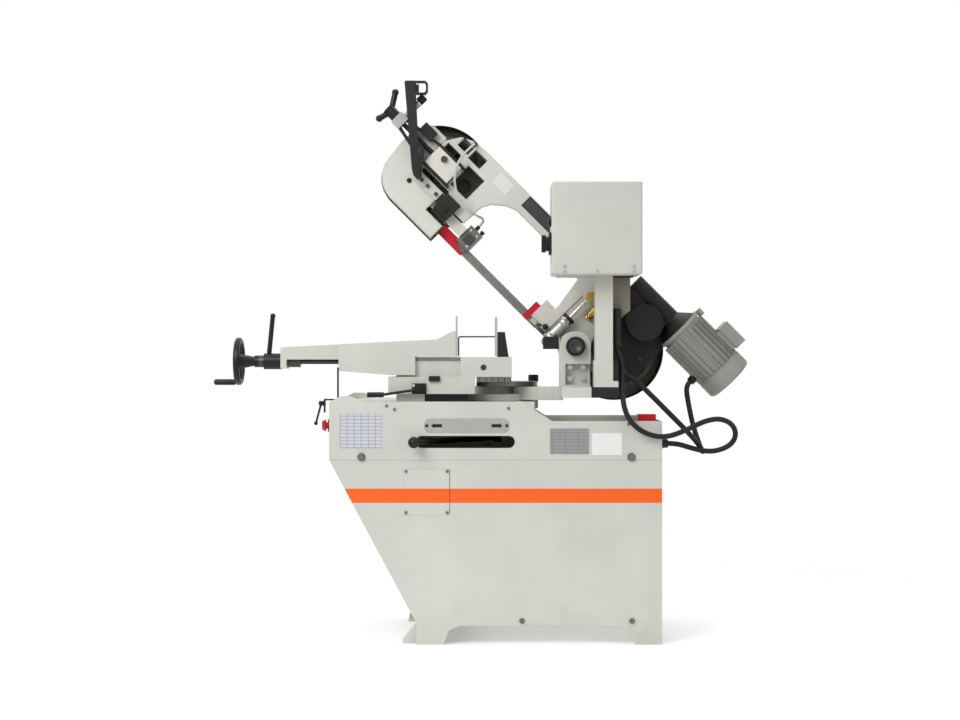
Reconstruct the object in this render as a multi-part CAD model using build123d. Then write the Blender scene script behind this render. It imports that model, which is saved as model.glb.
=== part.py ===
"""A pivoting-bow band saw for cutting metal bars, as an assembly of its pieces.

Millimetres. +Z is up, +X runs along the stand towards the motor, -Y is the side
that shows the electrical box. The origin is on the floor, at the middle of the
four anchor holes.
"""

import math
import os

from build123d import *

# Clearances
slide_gap = 0.3
run_gap = 0.05
seat_gap = 0.2

# Stand
stand_left = -658.0
stand_right = 441.0
stand_depth = 580.0
stand_top = 610.0
sheet = 3.0
leg_height = 62.0
left_foot_x = -371.0
foot_width = 89.0
leg_flare = 34.0
flange_width = 30.0
anchor_x = 395.0
anchor_y = 225.0
anchor_radius = 7.0
foot_plate_thick = 8.0
foot_plate_size = 84.0

# Upper box
box_high = 802.0
box_low = 738.0
box_step_start = -21.0
box_step_end = 78.0
box_ear_high = 820.0
lever_slot_left = -372.0
lever_slot_right = -45.0
lever_slot_z = 669.0
lever_slot_high = 40.0
cover_left = -412.0
cover_low = 428.0
cover_size = 152.0
tray_floor = 700.0
tray_wall = 30.0

# Bed, hub and swivel arm
swivel_x = -100.0
bed_thick = 32.0
bed_left = -600.0
bed_right = 20.0
hub_radius = 60.0
disc_radius = 150.0
disc_high = 824.0
step_radius = 84.0
arm_high = 849.0
table_radius = 140.0
table_high = 866.0
pad_high = 882.8

# Pivot of the bow
pivot_x = 160.0
pivot_z = 985.0
raise_deg = 45.0
ear_radius = 51.0
block_front = -210.0
block_back = -114.0
pivot_radius = 24.0
bush_wall = 5.0
post_front = -300.0
post_back = -238.0
post_left = 220.0
post_width = 58.0

# Electrical box
panel_left = 74.0
panel_wide = 293.0
panel_low = 1217.0
panel_high = 303.0
panel_front = -388.0
panel_deep = 155.0
panel_wall = 3.0

# Bow, in its own axes: u along the blade, v away from its teeth
wheel_radius = 135.0
wheel_width = 28.0
blade_v = -30.0
blade_width = 27.0
blade_thick = 0.9
idle_u = -735.0
drive_u = 110.0
frame_front = -66.0
frame_back = -22.0
spine_low = 196.0
spine_high = 265.0
guard_radius = 172.0
head_radius = 175.0
corner_radius = 105.0
guard_v = 93.0
guard_back = 60.0
guard_sheet = 3.0

# Gears and motor
gear_radius = 84.0
pinion_radius = 34.0
worm_wheel_radius = 50.0
worm_radius = 20.0
gear_wall = 5.0
mesh_gap = 0.4
motor_radius = 85.0
motor_front = 205.0
motor_end = 455.0
worm_y = -140.0

# Vice
vice_front = -235.0
vice_back = -105.0
rail_top = 826.0
vice_base = 57.0
slide_rise = 66.5
bed_low = rail_top
bed_mid = bed_low + vice_base
work_high = bed_mid + slide_rise
vice_left = -466.0
vice_right = -54.0
jaw_face = -102.0
jaw_high = work_high + 136.5
jaw_plate = 5.0
screw_z = work_high - 14.5
screw_radius = 9.0
wheel_rim_radius = 80.0


def block(x0, x1, y0, y1, z0, z1):
    """A box between two corners."""
    middle = Pos((x0 + x1) / 2, (y0 + y1) / 2, (z0 + z1) / 2)
    return middle * Box(x1 - x0, y1 - y0, z1 - z0)


def rod(axis, start, end, a, b, radius):
    """A round bar along X, Y or Z; a and b are its other two coordinates, in order."""
    middle, length = (start + end) / 2, abs(end - start)
    if axis == "X":
        return Pos(middle, a, b) * Rot(0, 90, 0) * Cylinder(radius, length)
    if axis == "Y":
        return Pos(a, middle, b) * Rot(90, 0, 0) * Cylinder(radius, length)
    return Pos(a, b, middle) * Cylinder(radius, length)


def cone(axis, start, end, a, b, r0, r1):
    """A tapered round bar along X, Y or Z, of radius r0 at start and r1 at end."""
    middle, length = (start + end) / 2, end - start
    taper = Cone(r0, r1, length)
    if axis == "X":
        return Pos(middle, a, b) * Rot(0, 90, 0) * taper
    if axis == "Y":
        return Pos(a, middle, b) * Rot(-90, 0, 0) * taper
    return Pos(a, b, middle) * taper


def ring(axis, start, end, a, b, outer, inner):
    """A tube along X, Y or Z."""
    return rod(axis, start, end, a, b, outer) - rod(axis, start - 1, end + 1, a, b, inner)


def face_at(outline, y):
    """An outline of (x, z) points as a face in the plane at that y, looking along -Y."""
    plane = Plane(origin=(0, y, 0), x_dir=(1, 0, 0), z_dir=(0, -1, 0))
    return plane * make_face(Polyline(*outline, close=True))


def prism(outline, y0, y1, round_by=0):
    """An outline of (x, z) points carried from y0 to y1, with its corners rounded."""
    shape = extrude(face_at(outline, y1), y1 - y0)
    if round_by:
        edges = [e for e in shape.edges() if abs(e.tangent_at(0.5).Y) > 0.99]
        shape = fillet(edges, round_by)
    return shape


def slab(outline, z0, z1):
    """An outline of (x, y) points carried from z0 to z1."""
    return extrude(Plane.XY.offset(z0) * make_face(Polyline(*outline, close=True)), z1 - z0)


def soften(shape, radius, axis=Axis.Z):
    """Round the edges that run along an axis."""
    return fillet(shape.edges().filter_by(axis), radius)


def hex_bolt(axis, seat, a, b, across, head, sign):
    """A hexagon bolt head with its washer, standing on a seat."""
    washer = rod(axis, seat, seat + sign * 2, a, b, across * 0.72)
    hexagon = extrude(RegularPolygon(across / 2, 6, major_radius=False), head)
    turn = {"X": Rot(0, 90 * sign, 0), "Y": Rot(-90 * sign, 0, 0), "Z": Rot(0, 0, 0)}[axis]
    start = seat + sign * 2
    place = {"X": (start, a, b), "Y": (a, start, b), "Z": (a, b, start)}[axis]
    return washer + Pos(*place) * turn * hexagon


nodes = {}
bow_nodes = {}


def bow_place():
    """The bow's own axes, with its blade level, turned up about its pivot."""
    return Pos(pivot_x, 0, pivot_z) * Rot(0, raise_deg, 0)


# Stand: one folded and welded shell, open at the top and the bottom
front_y = -stand_depth / 2
back_y = stand_depth / 2
right_foot_x = stand_right - foot_width
slant_low = leg_height + 10
stand_outline = [
    (stand_left, stand_top),
    (left_foot_x, slant_low),
    (left_foot_x, 0),
    (stand_right, 0),
    (stand_right, stand_top),
]
slant = math.atan2(left_foot_x - stand_left, stand_top - slant_low)
inset = sheet / math.cos(slant)
inner_outline = [
    (stand_left + inset, stand_top + 1),
    (left_foot_x + sheet, slant_low - 2),
    (left_foot_x + sheet, -1),
    (stand_right - sheet, -1),
    (stand_right - sheet, stand_top + 1),
]
leg_gap = [
    (left_foot_x + foot_width, -1),
    (left_foot_x + foot_width + leg_flare * 0.6, leg_height * 0.75),
    (left_foot_x + foot_width + leg_flare * 1.6, leg_height),
    (right_foot_x - leg_flare * 1.6, leg_height),
    (right_foot_x - leg_flare * 0.6, leg_height * 0.75),
    (right_foot_x, -1),
]
stand = prism(stand_outline, front_y, back_y)
stand -= prism(inner_outline, front_y + sheet, back_y - sheet)
stand -= prism(leg_gap, front_y - 1, back_y + 1)
side_gap = stand_depth / 2 - foot_width
stand -= block(stand_left, stand_right + 1, -side_gap, side_gap, -1, leg_height)
flange = block(stand_left + inset, stand_right - sheet, front_y + sheet, back_y - sheet,
               stand_top - sheet, stand_top)
flange -= block(stand_left + flange_width, stand_right - flange_width, front_y + flange_width,
                back_y - flange_width, stand_top - sheet - 1, stand_top + 1)
lip = [(stand_left + inset, stand_top), (stand_left + flange_width, stand_top),
       (stand_left + flange_width, stand_top - sheet),
       (stand_left + inset + sheet * math.tan(slant), stand_top - sheet)]
flange -= block(stand_left, stand_left + flange_width, front_y, back_y, stand_top - 9, stand_top + 1)
flange += prism(lip, front_y + sheet, back_y - sheet)
stand += flange

# Foot plates with anchor holes: the left pair stands out past the slanted side
gusset_thick = 6.0
for side in (-1, 1):
    y0 = side * anchor_y - foot_plate_size / 2
    y1 = side * anchor_y + foot_plate_size / 2
    left = block(-anchor_x - 22, left_foot_x, y0, y1, 0, foot_plate_thick)
    left -= rod("Z", -1, foot_plate_thick + 1, -anchor_x, side * anchor_y, anchor_radius)
    edge = y0 if side < 0 else y1 - gusset_thick
    web = [(left_foot_x, foot_plate_thick), (left_foot_x, slant_low - 4),
           (-anchor_x - 22, foot_plate_thick + 6), (-anchor_x - 22, foot_plate_thick)]
    left += prism(web, edge, edge + gusset_thick)
    right = block(anchor_x - 30, stand_right - sheet, y0, y1, 0, foot_plate_thick)
    right -= rod("Z", -1, foot_plate_thick + 1, anchor_x, side * anchor_y, anchor_radius)
    stand += left + right

# Upper box: high at the left, low where the swivel arm turns over it
box_front = [
    (stand_left, stand_top),
    (stand_right, stand_top),
    (stand_right, box_low),
    (box_step_end, box_low),
    (box_step_start, box_high),
    (stand_left + 113, box_high),
    (stand_left + 73, box_ear_high),
    (stand_left + 36, box_ear_high),
    (stand_left, box_high - 2),
]
upper = prism(box_front, front_y, back_y)
upper -= block(stand_left + sheet, stand_right - sheet, front_y + sheet, back_y - sheet,
               stand_top + sheet, box_ear_high + 1)
upper -= block(stand_left + flange_width, stand_right - flange_width, front_y + flange_width,
               back_y - flange_width, stand_top - 1, stand_top + sheet + 1)
slot = block(lever_slot_left + lever_slot_high / 2, lever_slot_right - lever_slot_high / 2,
             front_y - 1, front_y + sheet + 1,
             lever_slot_z - lever_slot_high / 2, lever_slot_z + lever_slot_high / 2)
for end in (lever_slot_left + lever_slot_high / 2, lever_slot_right - lever_slot_high / 2):
    slot += rod("Y", front_y - 1, front_y + sheet + 1, end, lever_slot_z, lever_slot_high / 2)
upper -= slot
gland_z = 661.0
gland_end = stand_right + 25
upper += rod("X", stand_right - 1, gland_end, -230, gland_z, 14)

# Access cover and its screws
cover = block(cover_left, cover_left + cover_size, front_y - 1.5, front_y, cover_low, cover_low + cover_size)
nodes["access_cover"] = cover
screws = []
for x in (cover_left + 8, cover_left + cover_size - 8):
    for z in (cover_low + 8, cover_low + cover_size - 8):
        screws.append(rod("Y", front_y - 1.5, front_y - 5, x, z, 5))
for x, z in ((-551, 619), (340, 619)):
    screws.append(hex_bolt("Y", front_y, x, z, 19, 8, -1))
    screws.append(hex_bolt("Y", back_y, x, z, 19, 8, 1))
for x in (-21, 342):
    screws.append(hex_bolt("Y", front_y, x, leg_height + 16, 13, 6, -1))
for x, z in ((-468, 788), (-442, 776), (-66, 780), (330, 728)):
    screws.append(rod("Y", front_y, front_y - 3, x, z, 5))
nodes["panel_screws"] = Compound(children=screws)

# Chip tray, coolant tank and pump inside the stand
tray_left = stand_left + sheet + seat_gap
tray_right = stand_right - sheet - seat_gap
tray_front = front_y + sheet + seat_gap
tray_back = back_y - sheet - seat_gap
tray = block(tray_left, tray_right, tray_front, tray_back, tray_floor, tray_floor + tray_wall)
tray -= block(tray_left + 2, tray_right - 2, tray_front + 2, tray_back - 2,
              tray_floor + 2, tray_floor + tray_wall + 1)
lock_shaft_radius = 14.0
tray -= rod("Z", tray_floor - 1, tray_floor + 3, swivel_x, 0, lock_shaft_radius + 8)
nodes["chip_tray"] = tray

tank_left, tank_right, tank_deep, tank_high = -150.0, 300.0, 380.0, 230.0
tank_floor = leg_height + 30
tank = block(tank_left, tank_right, -tank_deep / 2, tank_deep / 2, tank_floor, tank_floor + tank_high)
tank -= block(tank_left + 2, tank_right - 2, -tank_deep / 2 + 2, tank_deep / 2 - 2,
              tank_floor + 2, tank_floor + tank_high + 1)
shelf_thick = 3.0
stand += block(tank_left - 40, stand_right - sheet, front_y + sheet, back_y - sheet,
               tank_floor - shelf_thick, tank_floor)
nodes["lower_stand"] = stand
pump_x, pump_y = 200.0, 60.0
pump = rod("Z", tank_floor + 2, tank_floor + 60, pump_x, pump_y, 45)
pump += rod("Z", tank_floor + 60, tank_floor + 240, pump_x, pump_y, 18)
pump += rod("Z", tank_floor + 240, tank_floor + 250, pump_x, pump_y, 60)
pump += rod("Z", tank_floor + 250, tank_floor + 350, pump_x, pump_y, 50)
nodes["coolant_tank"] = tank + pump

# Red cap box at the right end of the tray
cap_left, cap_size = 368.0, 60.0
cap_front = front_y + 60
cap = block(cap_left, cap_left + cap_size, cap_front, cap_front + cap_size, tray_floor + 2, box_low + 20)
nodes["tray_cap"] = soften(cap, 6)

# Bed: a plate across the stand, the hub that the arm turns on, and the round table
hub_low = box_high - 2
bed = block(bed_left, bed_right, tray_front, tray_back, hub_low - bed_thick, hub_low)
bed += rod("Z", hub_low, table_high, swivel_x, 0, hub_radius)
table = rod("Z", arm_high + 1, table_high, swivel_x, 0, table_radius)
table_cut = -172.0
table -= block(table_cut - 200, table_cut, -200, 200, arm_high, table_high + 1)
pad_right = vice_right - 2
table += block(table_cut, pad_right, vice_front + 2, 60, table_high, pad_high)
bed += table
bed -= rod("Z", hub_low - bed_thick - 1, pad_high - 20, swivel_x, 0, lock_shaft_radius + run_gap)
for y in (-200.0, -130.0):
    bed += block(-440, -200, y - 14, y + 14, hub_low, rail_top - seat_gap)
knob_at_x, knob_at_y, knob_foot = 30.0, 134.0, arm_high
bed += block(bed_right - 20, knob_at_x + 16, knob_at_y - 16, knob_at_y + 16, hub_low - bed_thick, hub_low)
bed += rod("Z", hub_low, knob_foot - seat_gap, knob_at_x, knob_at_y, 16)
bed -= rod("Z", knob_foot - 26, knob_foot, knob_at_x, knob_at_y, 8 + run_gap)
nodes["swivel_bed"] = bed

# Swivel lock lever: a shaft in the hub, a bar through the slot and a ball
lock_angle = math.radians(-130)
lock_reach = 431.0
ball_x = swivel_x + lock_reach * math.cos(lock_angle)
ball_y = lock_reach * math.sin(lock_angle)
lever = rod("Z", lever_slot_z - 14, pad_high - 24, swivel_x, 0, lock_shaft_radius)
bar = Pos(swivel_x, 0, lever_slot_z) * Rot(0, 0, math.degrees(lock_angle))
lever += bar * Pos(lock_reach / 2, 0, 0) * Rot(0, 90, 0) * Cylinder(9, lock_reach)
lever += Pos(ball_x, ball_y, lever_slot_z) * Sphere(19)
nodes["swivel_lock_lever"] = lever

# Stop button on the left wall
stop_y, stop_z = front_y + 40, tray_floor + 22
upper += ring("X", stand_left - 6, stand_left + 1, stop_y, stop_z, 22, 11.3)
upper -= rod("X", stand_left - 7, stand_left + sheet + 1, stop_y, stop_z, 11.3)
nodes["upper_box"] = upper
mushroom = rod("X", stand_left - 14, stand_left - 4, stop_y, stop_z, 11)
mushroom += cone("X", stand_left - 26, stand_left - 14, stop_y, stop_z, 15, 20)
nodes["stop_button"] = mushroom

# Bent bar with a clamp lever at the left end of the box
bar_y = front_y + sheet + 8
bracket_top = 915.0
stop_bar = block(-632, -627, bar_y - 8, bar_y + 8, box_ear_high - 14, bracket_top)
stop_bar += block(-676, -600, bar_y - 8, bar_y + 8, box_ear_high - 14, box_ear_high - 9)
stop_bar += block(-676, -671, bar_y - 8, bar_y + 8, box_high - 36, box_ear_high - 9)
knob_x, knob_z = -682.0, box_high - 6
hinge_x = knob_x - 3
stop_bar += block(-676, -671, bar_y + 7, bar_y + 14, knob_z - 8, knob_z + 8)
stop_bar += block(hinge_x - 8, -675, bar_y + 10 + seat_gap, bar_y + 14, knob_z - 8, knob_z + 8)
stop_bar += rod("Y", bar_y - 10, bar_y + 12, hinge_x, knob_z, 3)
nodes["stop_bracket"] = stop_bar
clamp_lever = rod("Y", bar_y - 10, bar_y + 10, hinge_x, knob_z, 8)
lever_bar = Pos(hinge_x, bar_y, knob_z) * Rot(0, 15, 0)
clamp_lever += lever_bar * Pos(0, 0, -34) * Cylinder(3.4, 62)
clamp_lever += lever_bar * Pos(0, 0, -68) * Sphere(6.5)
clamp_lever -= rod("Y", bar_y - 11, bar_y + 11, hinge_x, knob_z, 3 + run_gap)
nodes["stop_clamp_lever"] = clamp_lever

# Swivel arm: disc round the hub, beam and the seat of the pivot block
arm = rod("Z", hub_low + 1, disc_high, swivel_x, 0, disc_radius)
arm += rod("Z", hub_low + 1, arm_high - 0.5, swivel_x, 0, step_radius)
seat_low = 815.0
seat_high = arm_high + 1
beam = [(-44, -100), (36, -205), (110, block_front), (post_left + post_width + 18, block_front),
        (post_left + post_width + 18, block_back), (110, block_back), (20, 40), (-60, 60)]
beam_low = box_high + 3
arm += slab(beam, beam_low, arm_high - 0.5)
arm += slab([(80, block_front), (post_left + 76, block_front), (post_left + 76, block_back),
             (80, block_back)], beam_low, seat_high)
arm += block(109, post_left + 76, post_front, block_back, seat_low, seat_high)
arm -= rod("Z", hub_low, arm_high, swivel_x, 0, hub_radius + run_gap)
arm -= slab([(118, block_front), (post_left + 90, block_front), (post_left + 90, block_back),
             (118, block_back)], hub_low, seat_low)
nodes["swivel_arm"] = arm

# Pivot block with its ear and the pocket for its four bolts
ear_left = pivot_x - ear_radius
ear_right = pivot_x + ear_radius
pivot_block = block(ear_left, ear_right, block_front, block_back, seat_high, pivot_z)
pivot_block += rod("Y", block_front, block_back, pivot_x, pivot_z, ear_radius)
pocket_deep = 34.0
pivot_block -= block(ear_left + 17, ear_right + 1, block_front - 1, block_front + pocket_deep,
                     seat_high + 6, pivot_z - 59)
pivot_block -= rod("Y", block_front - 1, block_back + 1, pivot_x, pivot_z, pivot_radius + bush_wall)
damper_pin = (-95.5, 17.7)
pin_x, pin_z = pivot_x + damper_pin[0], pivot_z + damper_pin[1]
pivot_block += block(pin_x - 10, ear_left + 2, block_back - 10, block_back, pin_z - 26, pin_z + 16)
pivot_block += rod("Y", block_back - 8, block_back + 36, pin_x, pin_z, 6)
nodes["pivot_block"] = pivot_block
block_bolts = []
for x in (ear_left + 34, ear_right - 24):
    for z in (seat_high + 26, pivot_z - 70):
        block_bolts.append(hex_bolt("Y", block_front + pocket_deep, x, z, 14, 8, -1))
bush_long = 36.0
bushes = [ring("Y", block_front, block_front + bush_long, pivot_x, pivot_z,
               pivot_radius + bush_wall, pivot_radius + run_gap),
          ring("Y", block_back - bush_long, block_back, pivot_x, pivot_z,
               pivot_radius + bush_wall, pivot_radius + run_gap)]
nodes["pivot_bushes"] = Compound(children=bushes)

# Column: base block, post and gusset plate that carry the electrical box
post_right = post_left + post_width
base_high = seat_high + 88
column = block(post_left - 4, post_right + 18, post_front, post_back, seat_high, base_high)
column += block(post_left, post_right, post_front, post_back, base_high - 8, panel_low)
column += prism([(post_right, panel_low), (post_right + 62, panel_low), (post_right + 62, panel_low - 112),
                 (post_right + 44, panel_low - 127), (post_right, panel_low - 105)], post_back - 8, post_back)
column += block(panel_left + 20, panel_left + panel_wide - 20, post_front, post_back,
                panel_low - 4, panel_low)
duct_low = 985.0
duct = rod("Z", duct_low, 1110, post_right + 16, -262, 15)
duct += rod("X", post_right + 17, post_right + 32, -246, 892, 10)
duct += block(post_right, post_right + 16, -268, -256, 1040, 1080)
nodes["column"] = column + duct

# Electrical box: shell, front cover and screws
panel_right = panel_left + panel_wide
panel_top = panel_low + panel_high
panel_back = panel_front + panel_deep
cover_deep = 20.0
shell = block(panel_left, panel_right, panel_front + cover_deep, panel_back, panel_low, panel_top)
shell = soften(shell, 8, Axis.Y)
shell -= block(panel_left + panel_wall, panel_right - panel_wall, panel_front, panel_back - panel_wall,
               panel_low + panel_wall, panel_top - panel_wall)
switch_y = (panel_front + panel_back) / 2
switch_z, button_z = panel_low + 104, panel_low + 178
shell -= rod("X", panel_left - 1, panel_left + panel_wall + 1, switch_y, switch_z, 8.3)
shell -= rod("X", panel_left - 1, panel_left + panel_wall + 1, switch_y, button_z, 11.3)
lid = block(panel_left, panel_right, panel_front, panel_front + cover_deep - seat_gap, panel_low, panel_top)
lid = fillet(lid.edges().filter_by(Axis.Y) + lid.faces().sort_by(Axis.Y)[0].edges(), 7)
lid -= block(panel_left + panel_wall, panel_right - panel_wall, panel_front + panel_wall,
             panel_front + cover_deep, panel_low + panel_wall, panel_top - panel_wall)
nodes["panel_cover"] = lid
cover_screws = []
for x, z in ((40, 26), (40, 10), (146, 10), (265, 26), (265, 10)):
    cover_screws.append(rod("Y", panel_front - 3, panel_front, panel_left + x, panel_low + z, 5))
nodes["swivel_screws"] = Compound(children=block_bolts + cover_screws)
switch_base = block(panel_left - 8, panel_left, switch_y - 32, switch_y + 32, switch_z - 36, switch_z + 36)
switch_base = soften(switch_base, 8, Axis.X)
switch_base -= rod("X", panel_left - 9, panel_left + 1, switch_y, switch_z, 8.3)
button_ring = ring("X", panel_left - 5, panel_left, switch_y, button_z, 17, 11.3)
contacts = block(panel_left + 16, panel_left + 60, switch_y - 25, switch_y + 25, switch_z - 30, button_z + 20)
contacts += block(panel_left + 60, panel_left + 62, switch_y - 60, panel_back - panel_wall,
                  switch_z - 60, button_z + 60)
nodes["panel_shell"] = shell + switch_base + button_ring + contacts
main_switch = rod("X", panel_left - 9, panel_left + 14, switch_y, switch_z, 8)
main_switch += rod("X", panel_left - 18, panel_left - 9, switch_y, switch_z, 24)
main_switch += block(panel_left - 32, panel_left - 18, switch_y - 6, switch_y + 6, switch_z - 28, switch_z + 28)
nodes["main_switch_knob"] = main_switch
nodes["start_button"] = rod("X", panel_left - 9, panel_left + 12, switch_y, button_z, 11)

# Lock knob of the round table
table_knob = rod("Z", knob_foot - 25, knob_foot + 12, knob_at_x, knob_at_y, 8)
table_knob += rod("Z", knob_foot + 12, knob_foot + 38, knob_at_x, knob_at_y, 17)
nodes["table_knob"] = table_knob

# Bow frame, in the bow's own axes: idle end, arch, spine and drive end as one casting
wheel_v = blade_v + wheel_radius
axle_radius = 14.0
shaft_radius = 18.0
bow_hub_radius = 52.0
idle_left = -812.0
frame_low = 36.0
frame_outline = [
    (idle_left, frame_low), (idle_left, 190), (-782, 238), (-738, 260), (-690, spine_high),
    (200, spine_high), (226, 200), (222, 60), (160, 10), (60, -36), (-40, -36), (-135, -15),
    (-135, 70), (-152, 176), (-190, spine_low), (-470, spine_low), (-506, 182), (-545, 150),
    (-562, 121), (-568, 64), (-568, frame_low),
]
frame = prism(frame_outline, frame_front, frame_back)
hub_front = block_back + 2
frame += rod("Y", hub_front, frame_back, 0, 0, bow_hub_radius)
frame += rod("Y", frame_back, frame_back + 4, drive_u, wheel_v, 34)
carriage_low, carriage_high = 88.0, 160.0
for u0, u1, v0, v1 in (
    (-768, -700, carriage_low + 1, carriage_low + 33),
    (-800, -676, 58, 76),
    (-800, -730, 171, 194),
    (-773, -723, 210, 246),
    (-716, -660, 204, 244),
    (-696, -618, 98, 188),
):
    frame -= block(u0, u1, frame_front - 1, frame_back + 1, v0, v1)
rib = 7.0
frame -= block(-452, -200, frame_back - 24, frame_back + 1, spine_low + rib, spine_high - rib)
frame -= block(-470, -170, frame_front - 1, frame_front + 4, spine_low + 22, spine_high - 3)
frame -= rod("Y", hub_front - 1, frame_back + 1, 0, 0, pivot_radius)
frame -= rod("Y", frame_front - 1, frame_back + 5, drive_u, wheel_v, shaft_radius + run_gap)
bow_nodes["bow_frame"] = frame

# Pivot shaft, fixed in the frame, with its collar and nut in front of the block
cap_radius = 32.0
shaft = rod("Y", block_front - 6, frame_back, 0, 0, pivot_radius)
shaft += rod("Y", block_front - 22, block_front - seat_gap, 0, 0, cap_radius)
bow_nodes["pivot_shaft"] = shaft

# Wheel covers: a black pan behind both wheels and the white cover at the idle end
head_end = -611.0


def patch(u0, u1, v0, v1):
    return Pos((u0 + u1) / 2, (v0 + v1) / 2) * Rectangle(u1 - u0, v1 - v0)


def head_outline(off, end):
    """The idle end: a large round, a small one at its lower corner, flats between, a straight foot."""
    rounds = ((idle_u - 10, guard_v, head_radius - off), (idle_u - 71, guard_v - 75, corner_radius - off))
    (u0, v0, r0), (u1, v1, r1) = rounds
    way = math.atan2(v1 - v0, u1 - u0)
    lean = math.acos((r0 - r1) / math.hypot(u1 - u0, v1 - v0))
    flats = [(u + r * math.cos(way + side * lean), v + r * math.sin(way + side * lean))
             for (u, v, r), side in ((rounds[0], -1), (rounds[1], -1), (rounds[1], 1), (rounds[0], 1))]
    face = make_face(Polyline(*flats, close=True))
    for u, v, r in rounds:
        face += Pos(u, v) * Circle(r)
    return face + patch(u1, end, v1 - r1, guard_v - 60)


def along_y(face, y0, y1):
    """A solid from y0 to y1 over a face drawn in u and v."""
    return extrude(Plane(origin=(0, y1, 0), x_dir=(1, 0, 0), z_dir=(0, -1, 0)) * face, y1 - y0)


def guard_form(y0, y1, off, end):
    form = along_y(head_outline(off, end), y0, y1)
    form += rod("Y", y0, y1, drive_u, guard_v, guard_radius - off)
    return form + block(idle_u, drive_u, y0, y1, spine_low + 10 + off, spine_high - off)


cover_front = frame_back + 2
rear = guard_form(cover_front, guard_back, 0, head_end)
rear -= guard_form(cover_front - 1, guard_back - guard_sheet, guard_sheet, head_end + 100)
rear -= block(-705, drive_u - 60, cover_front - 1, guard_back - guard_sheet, guard_v - 177, 50)
stud_radius = 9.0
for u in (idle_u, drive_u):
    rear += rod("Y", guard_back, guard_back + 12, u, guard_v + 130, stud_radius)
for u in (-600, -100):
    rear += rod("Y", frame_back, guard_back - guard_sheet, u, spine_low + 12, 5)
bow_nodes["rear_cover"] = rear
white_front = -63.0
white_back = cover_front - seat_gap
white_inset, white_sheet = 4.0, 3.0
outline = head_outline(white_inset, head_end)
outline -= patch(idle_left - 1, -500, 32.8, 300) + patch(-930, -700, 200, 300)
outline -= patch(-692, head_end + 1, -24, 60) + patch(head_end, -500, -100, 300)
white = along_y(outline, white_front, white_back)
white -= along_y(head_outline(white_inset + white_sheet, head_end + 100), white_front + white_sheet, white_back)
bow_nodes["front_cover"] = white

# Blade: flat on the wheels and the upper run, turned on edge between the guides
blade_r0 = wheel_radius + slide_gap
blade_r1 = blade_r0 + blade_thick
half_w = blade_width / 2
band = ring("Y", -half_w, half_w, idle_u, wheel_v, blade_r1, blade_r0)
band -= block(idle_u, idle_u + 400, -50, 50, wheel_v - 300, wheel_v + 300)
other = ring("Y", -half_w, half_w, drive_u, wheel_v, blade_r1, blade_r0)
other -= block(drive_u - 400, drive_u, -50, 50, wheel_v - 300, wheel_v + 300)
band += other
band += block(idle_u, drive_u, -half_w, half_w, wheel_v + blade_r0, wheel_v + blade_r1)
run_v = wheel_v - (blade_r0 + blade_r1) / 2
left_guide_u, right_guide_u = -540.0, -140.0


def blade_section(u, turn):
    plane = Plane(origin=(u, 0, run_v), x_dir=(0, 1, 0), z_dir=(1, 0, 0)).rotated((0, 0, 0))
    return plane * Rot(0, 0, turn) * Rectangle(blade_width, blade_thick)


flat_run = 76.0
for u0, u1 in ((idle_u, idle_u + flat_run), (drive_u - flat_run, drive_u)):
    band += block(u0, u1, -half_w, half_w, run_v - blade_thick / 2, run_v + blade_thick / 2)
for u0, u1, t0, t1 in ((idle_u + flat_run, left_guide_u, 0, 90), (right_guide_u, drive_u - flat_run, 90, 0)):
    parts = 6
    turns = [(u0 + (u1 - u0) * i / parts, t0 + (t1 - t0) * i / parts) for i in range(parts + 1)]
    band += loft([blade_section(u, t) for u, t in turns], ruled=True)
band += block(left_guide_u, right_guide_u, -blade_thick / 2, blade_thick / 2, run_v - half_w, run_v + half_w)
bow_nodes["blade"] = band


def band_wheel(u, bore):
    """A spoked wheel for the blade: rim, web with round holes, hub."""
    wheel = rod("Y", -wheel_width / 2, wheel_width / 2, u, wheel_v, wheel_radius)
    for y0, y1 in ((-wheel_width, -5), (5, wheel_width)):
        wheel -= ring("Y", y0, y1, u, wheel_v, wheel_radius - 12, 42)
    for i in range(5):
        a = math.radians(72 * i + 18)
        wheel -= rod("Y", -20, 20, u + 80 * math.cos(a), wheel_v + 80 * math.sin(a), 24)
    return wheel - rod("Y", -30, 30, u, wheel_v, bore)


bow_nodes["idle_wheel"] = band_wheel(idle_u, axle_radius + run_gap)

# Gear train: gear on the wheel's shaft, pinion and worm wheel on a layshaft, worm on the motor
gear_y0, gear_y1 = -104.0, -74.0
lay_v = wheel_v + gear_radius + pinion_radius + mesh_gap
worm_v = lay_v + worm_wheel_radius + worm_radius + mesh_gap
shaft_y0 = -108.0
drive_shaft = rod("Y", shaft_y0, wheel_width / 2, drive_u, wheel_v, shaft_radius)
drive_shaft += rod("Y", wheel_width / 2, wheel_width / 2 + 8, drive_u, wheel_v, 28)
drive_shaft += rod("Y", gear_y0, gear_y1, drive_u, wheel_v, gear_radius)
bow_nodes["drive_wheel"] = drive_shaft + band_wheel(drive_u, shaft_radius - 1)
lay_radius = 14.0
wheel_half = 20.0
lay_y0, lay_y1 = -186.0, gear_y1 + 3
lay = rod("Y", lay_y0, lay_y1, drive_u, lay_v, lay_radius)
lay += rod("Y", gear_y0, gear_y1, drive_u, lay_v, pinion_radius)
lay += rod("Y", worm_y - wheel_half, worm_y + wheel_half, drive_u, lay_v, worm_wheel_radius)
bow_nodes["layshaft_gears"] = lay
case_front = -192.0
case_step = block_back + 2
tunnel_radius = 36.0
tunnel_left = -10.0
case = rod("Y", case_step, frame_front, drive_u, wheel_v, gear_radius + gear_wall + 1)
case += rod("Y", case_front, frame_front, drive_u, lay_v, worm_wheel_radius + 12)
case += block(drive_u - 62, drive_u + 62, case_step, frame_front, wheel_v, lay_v)
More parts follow.
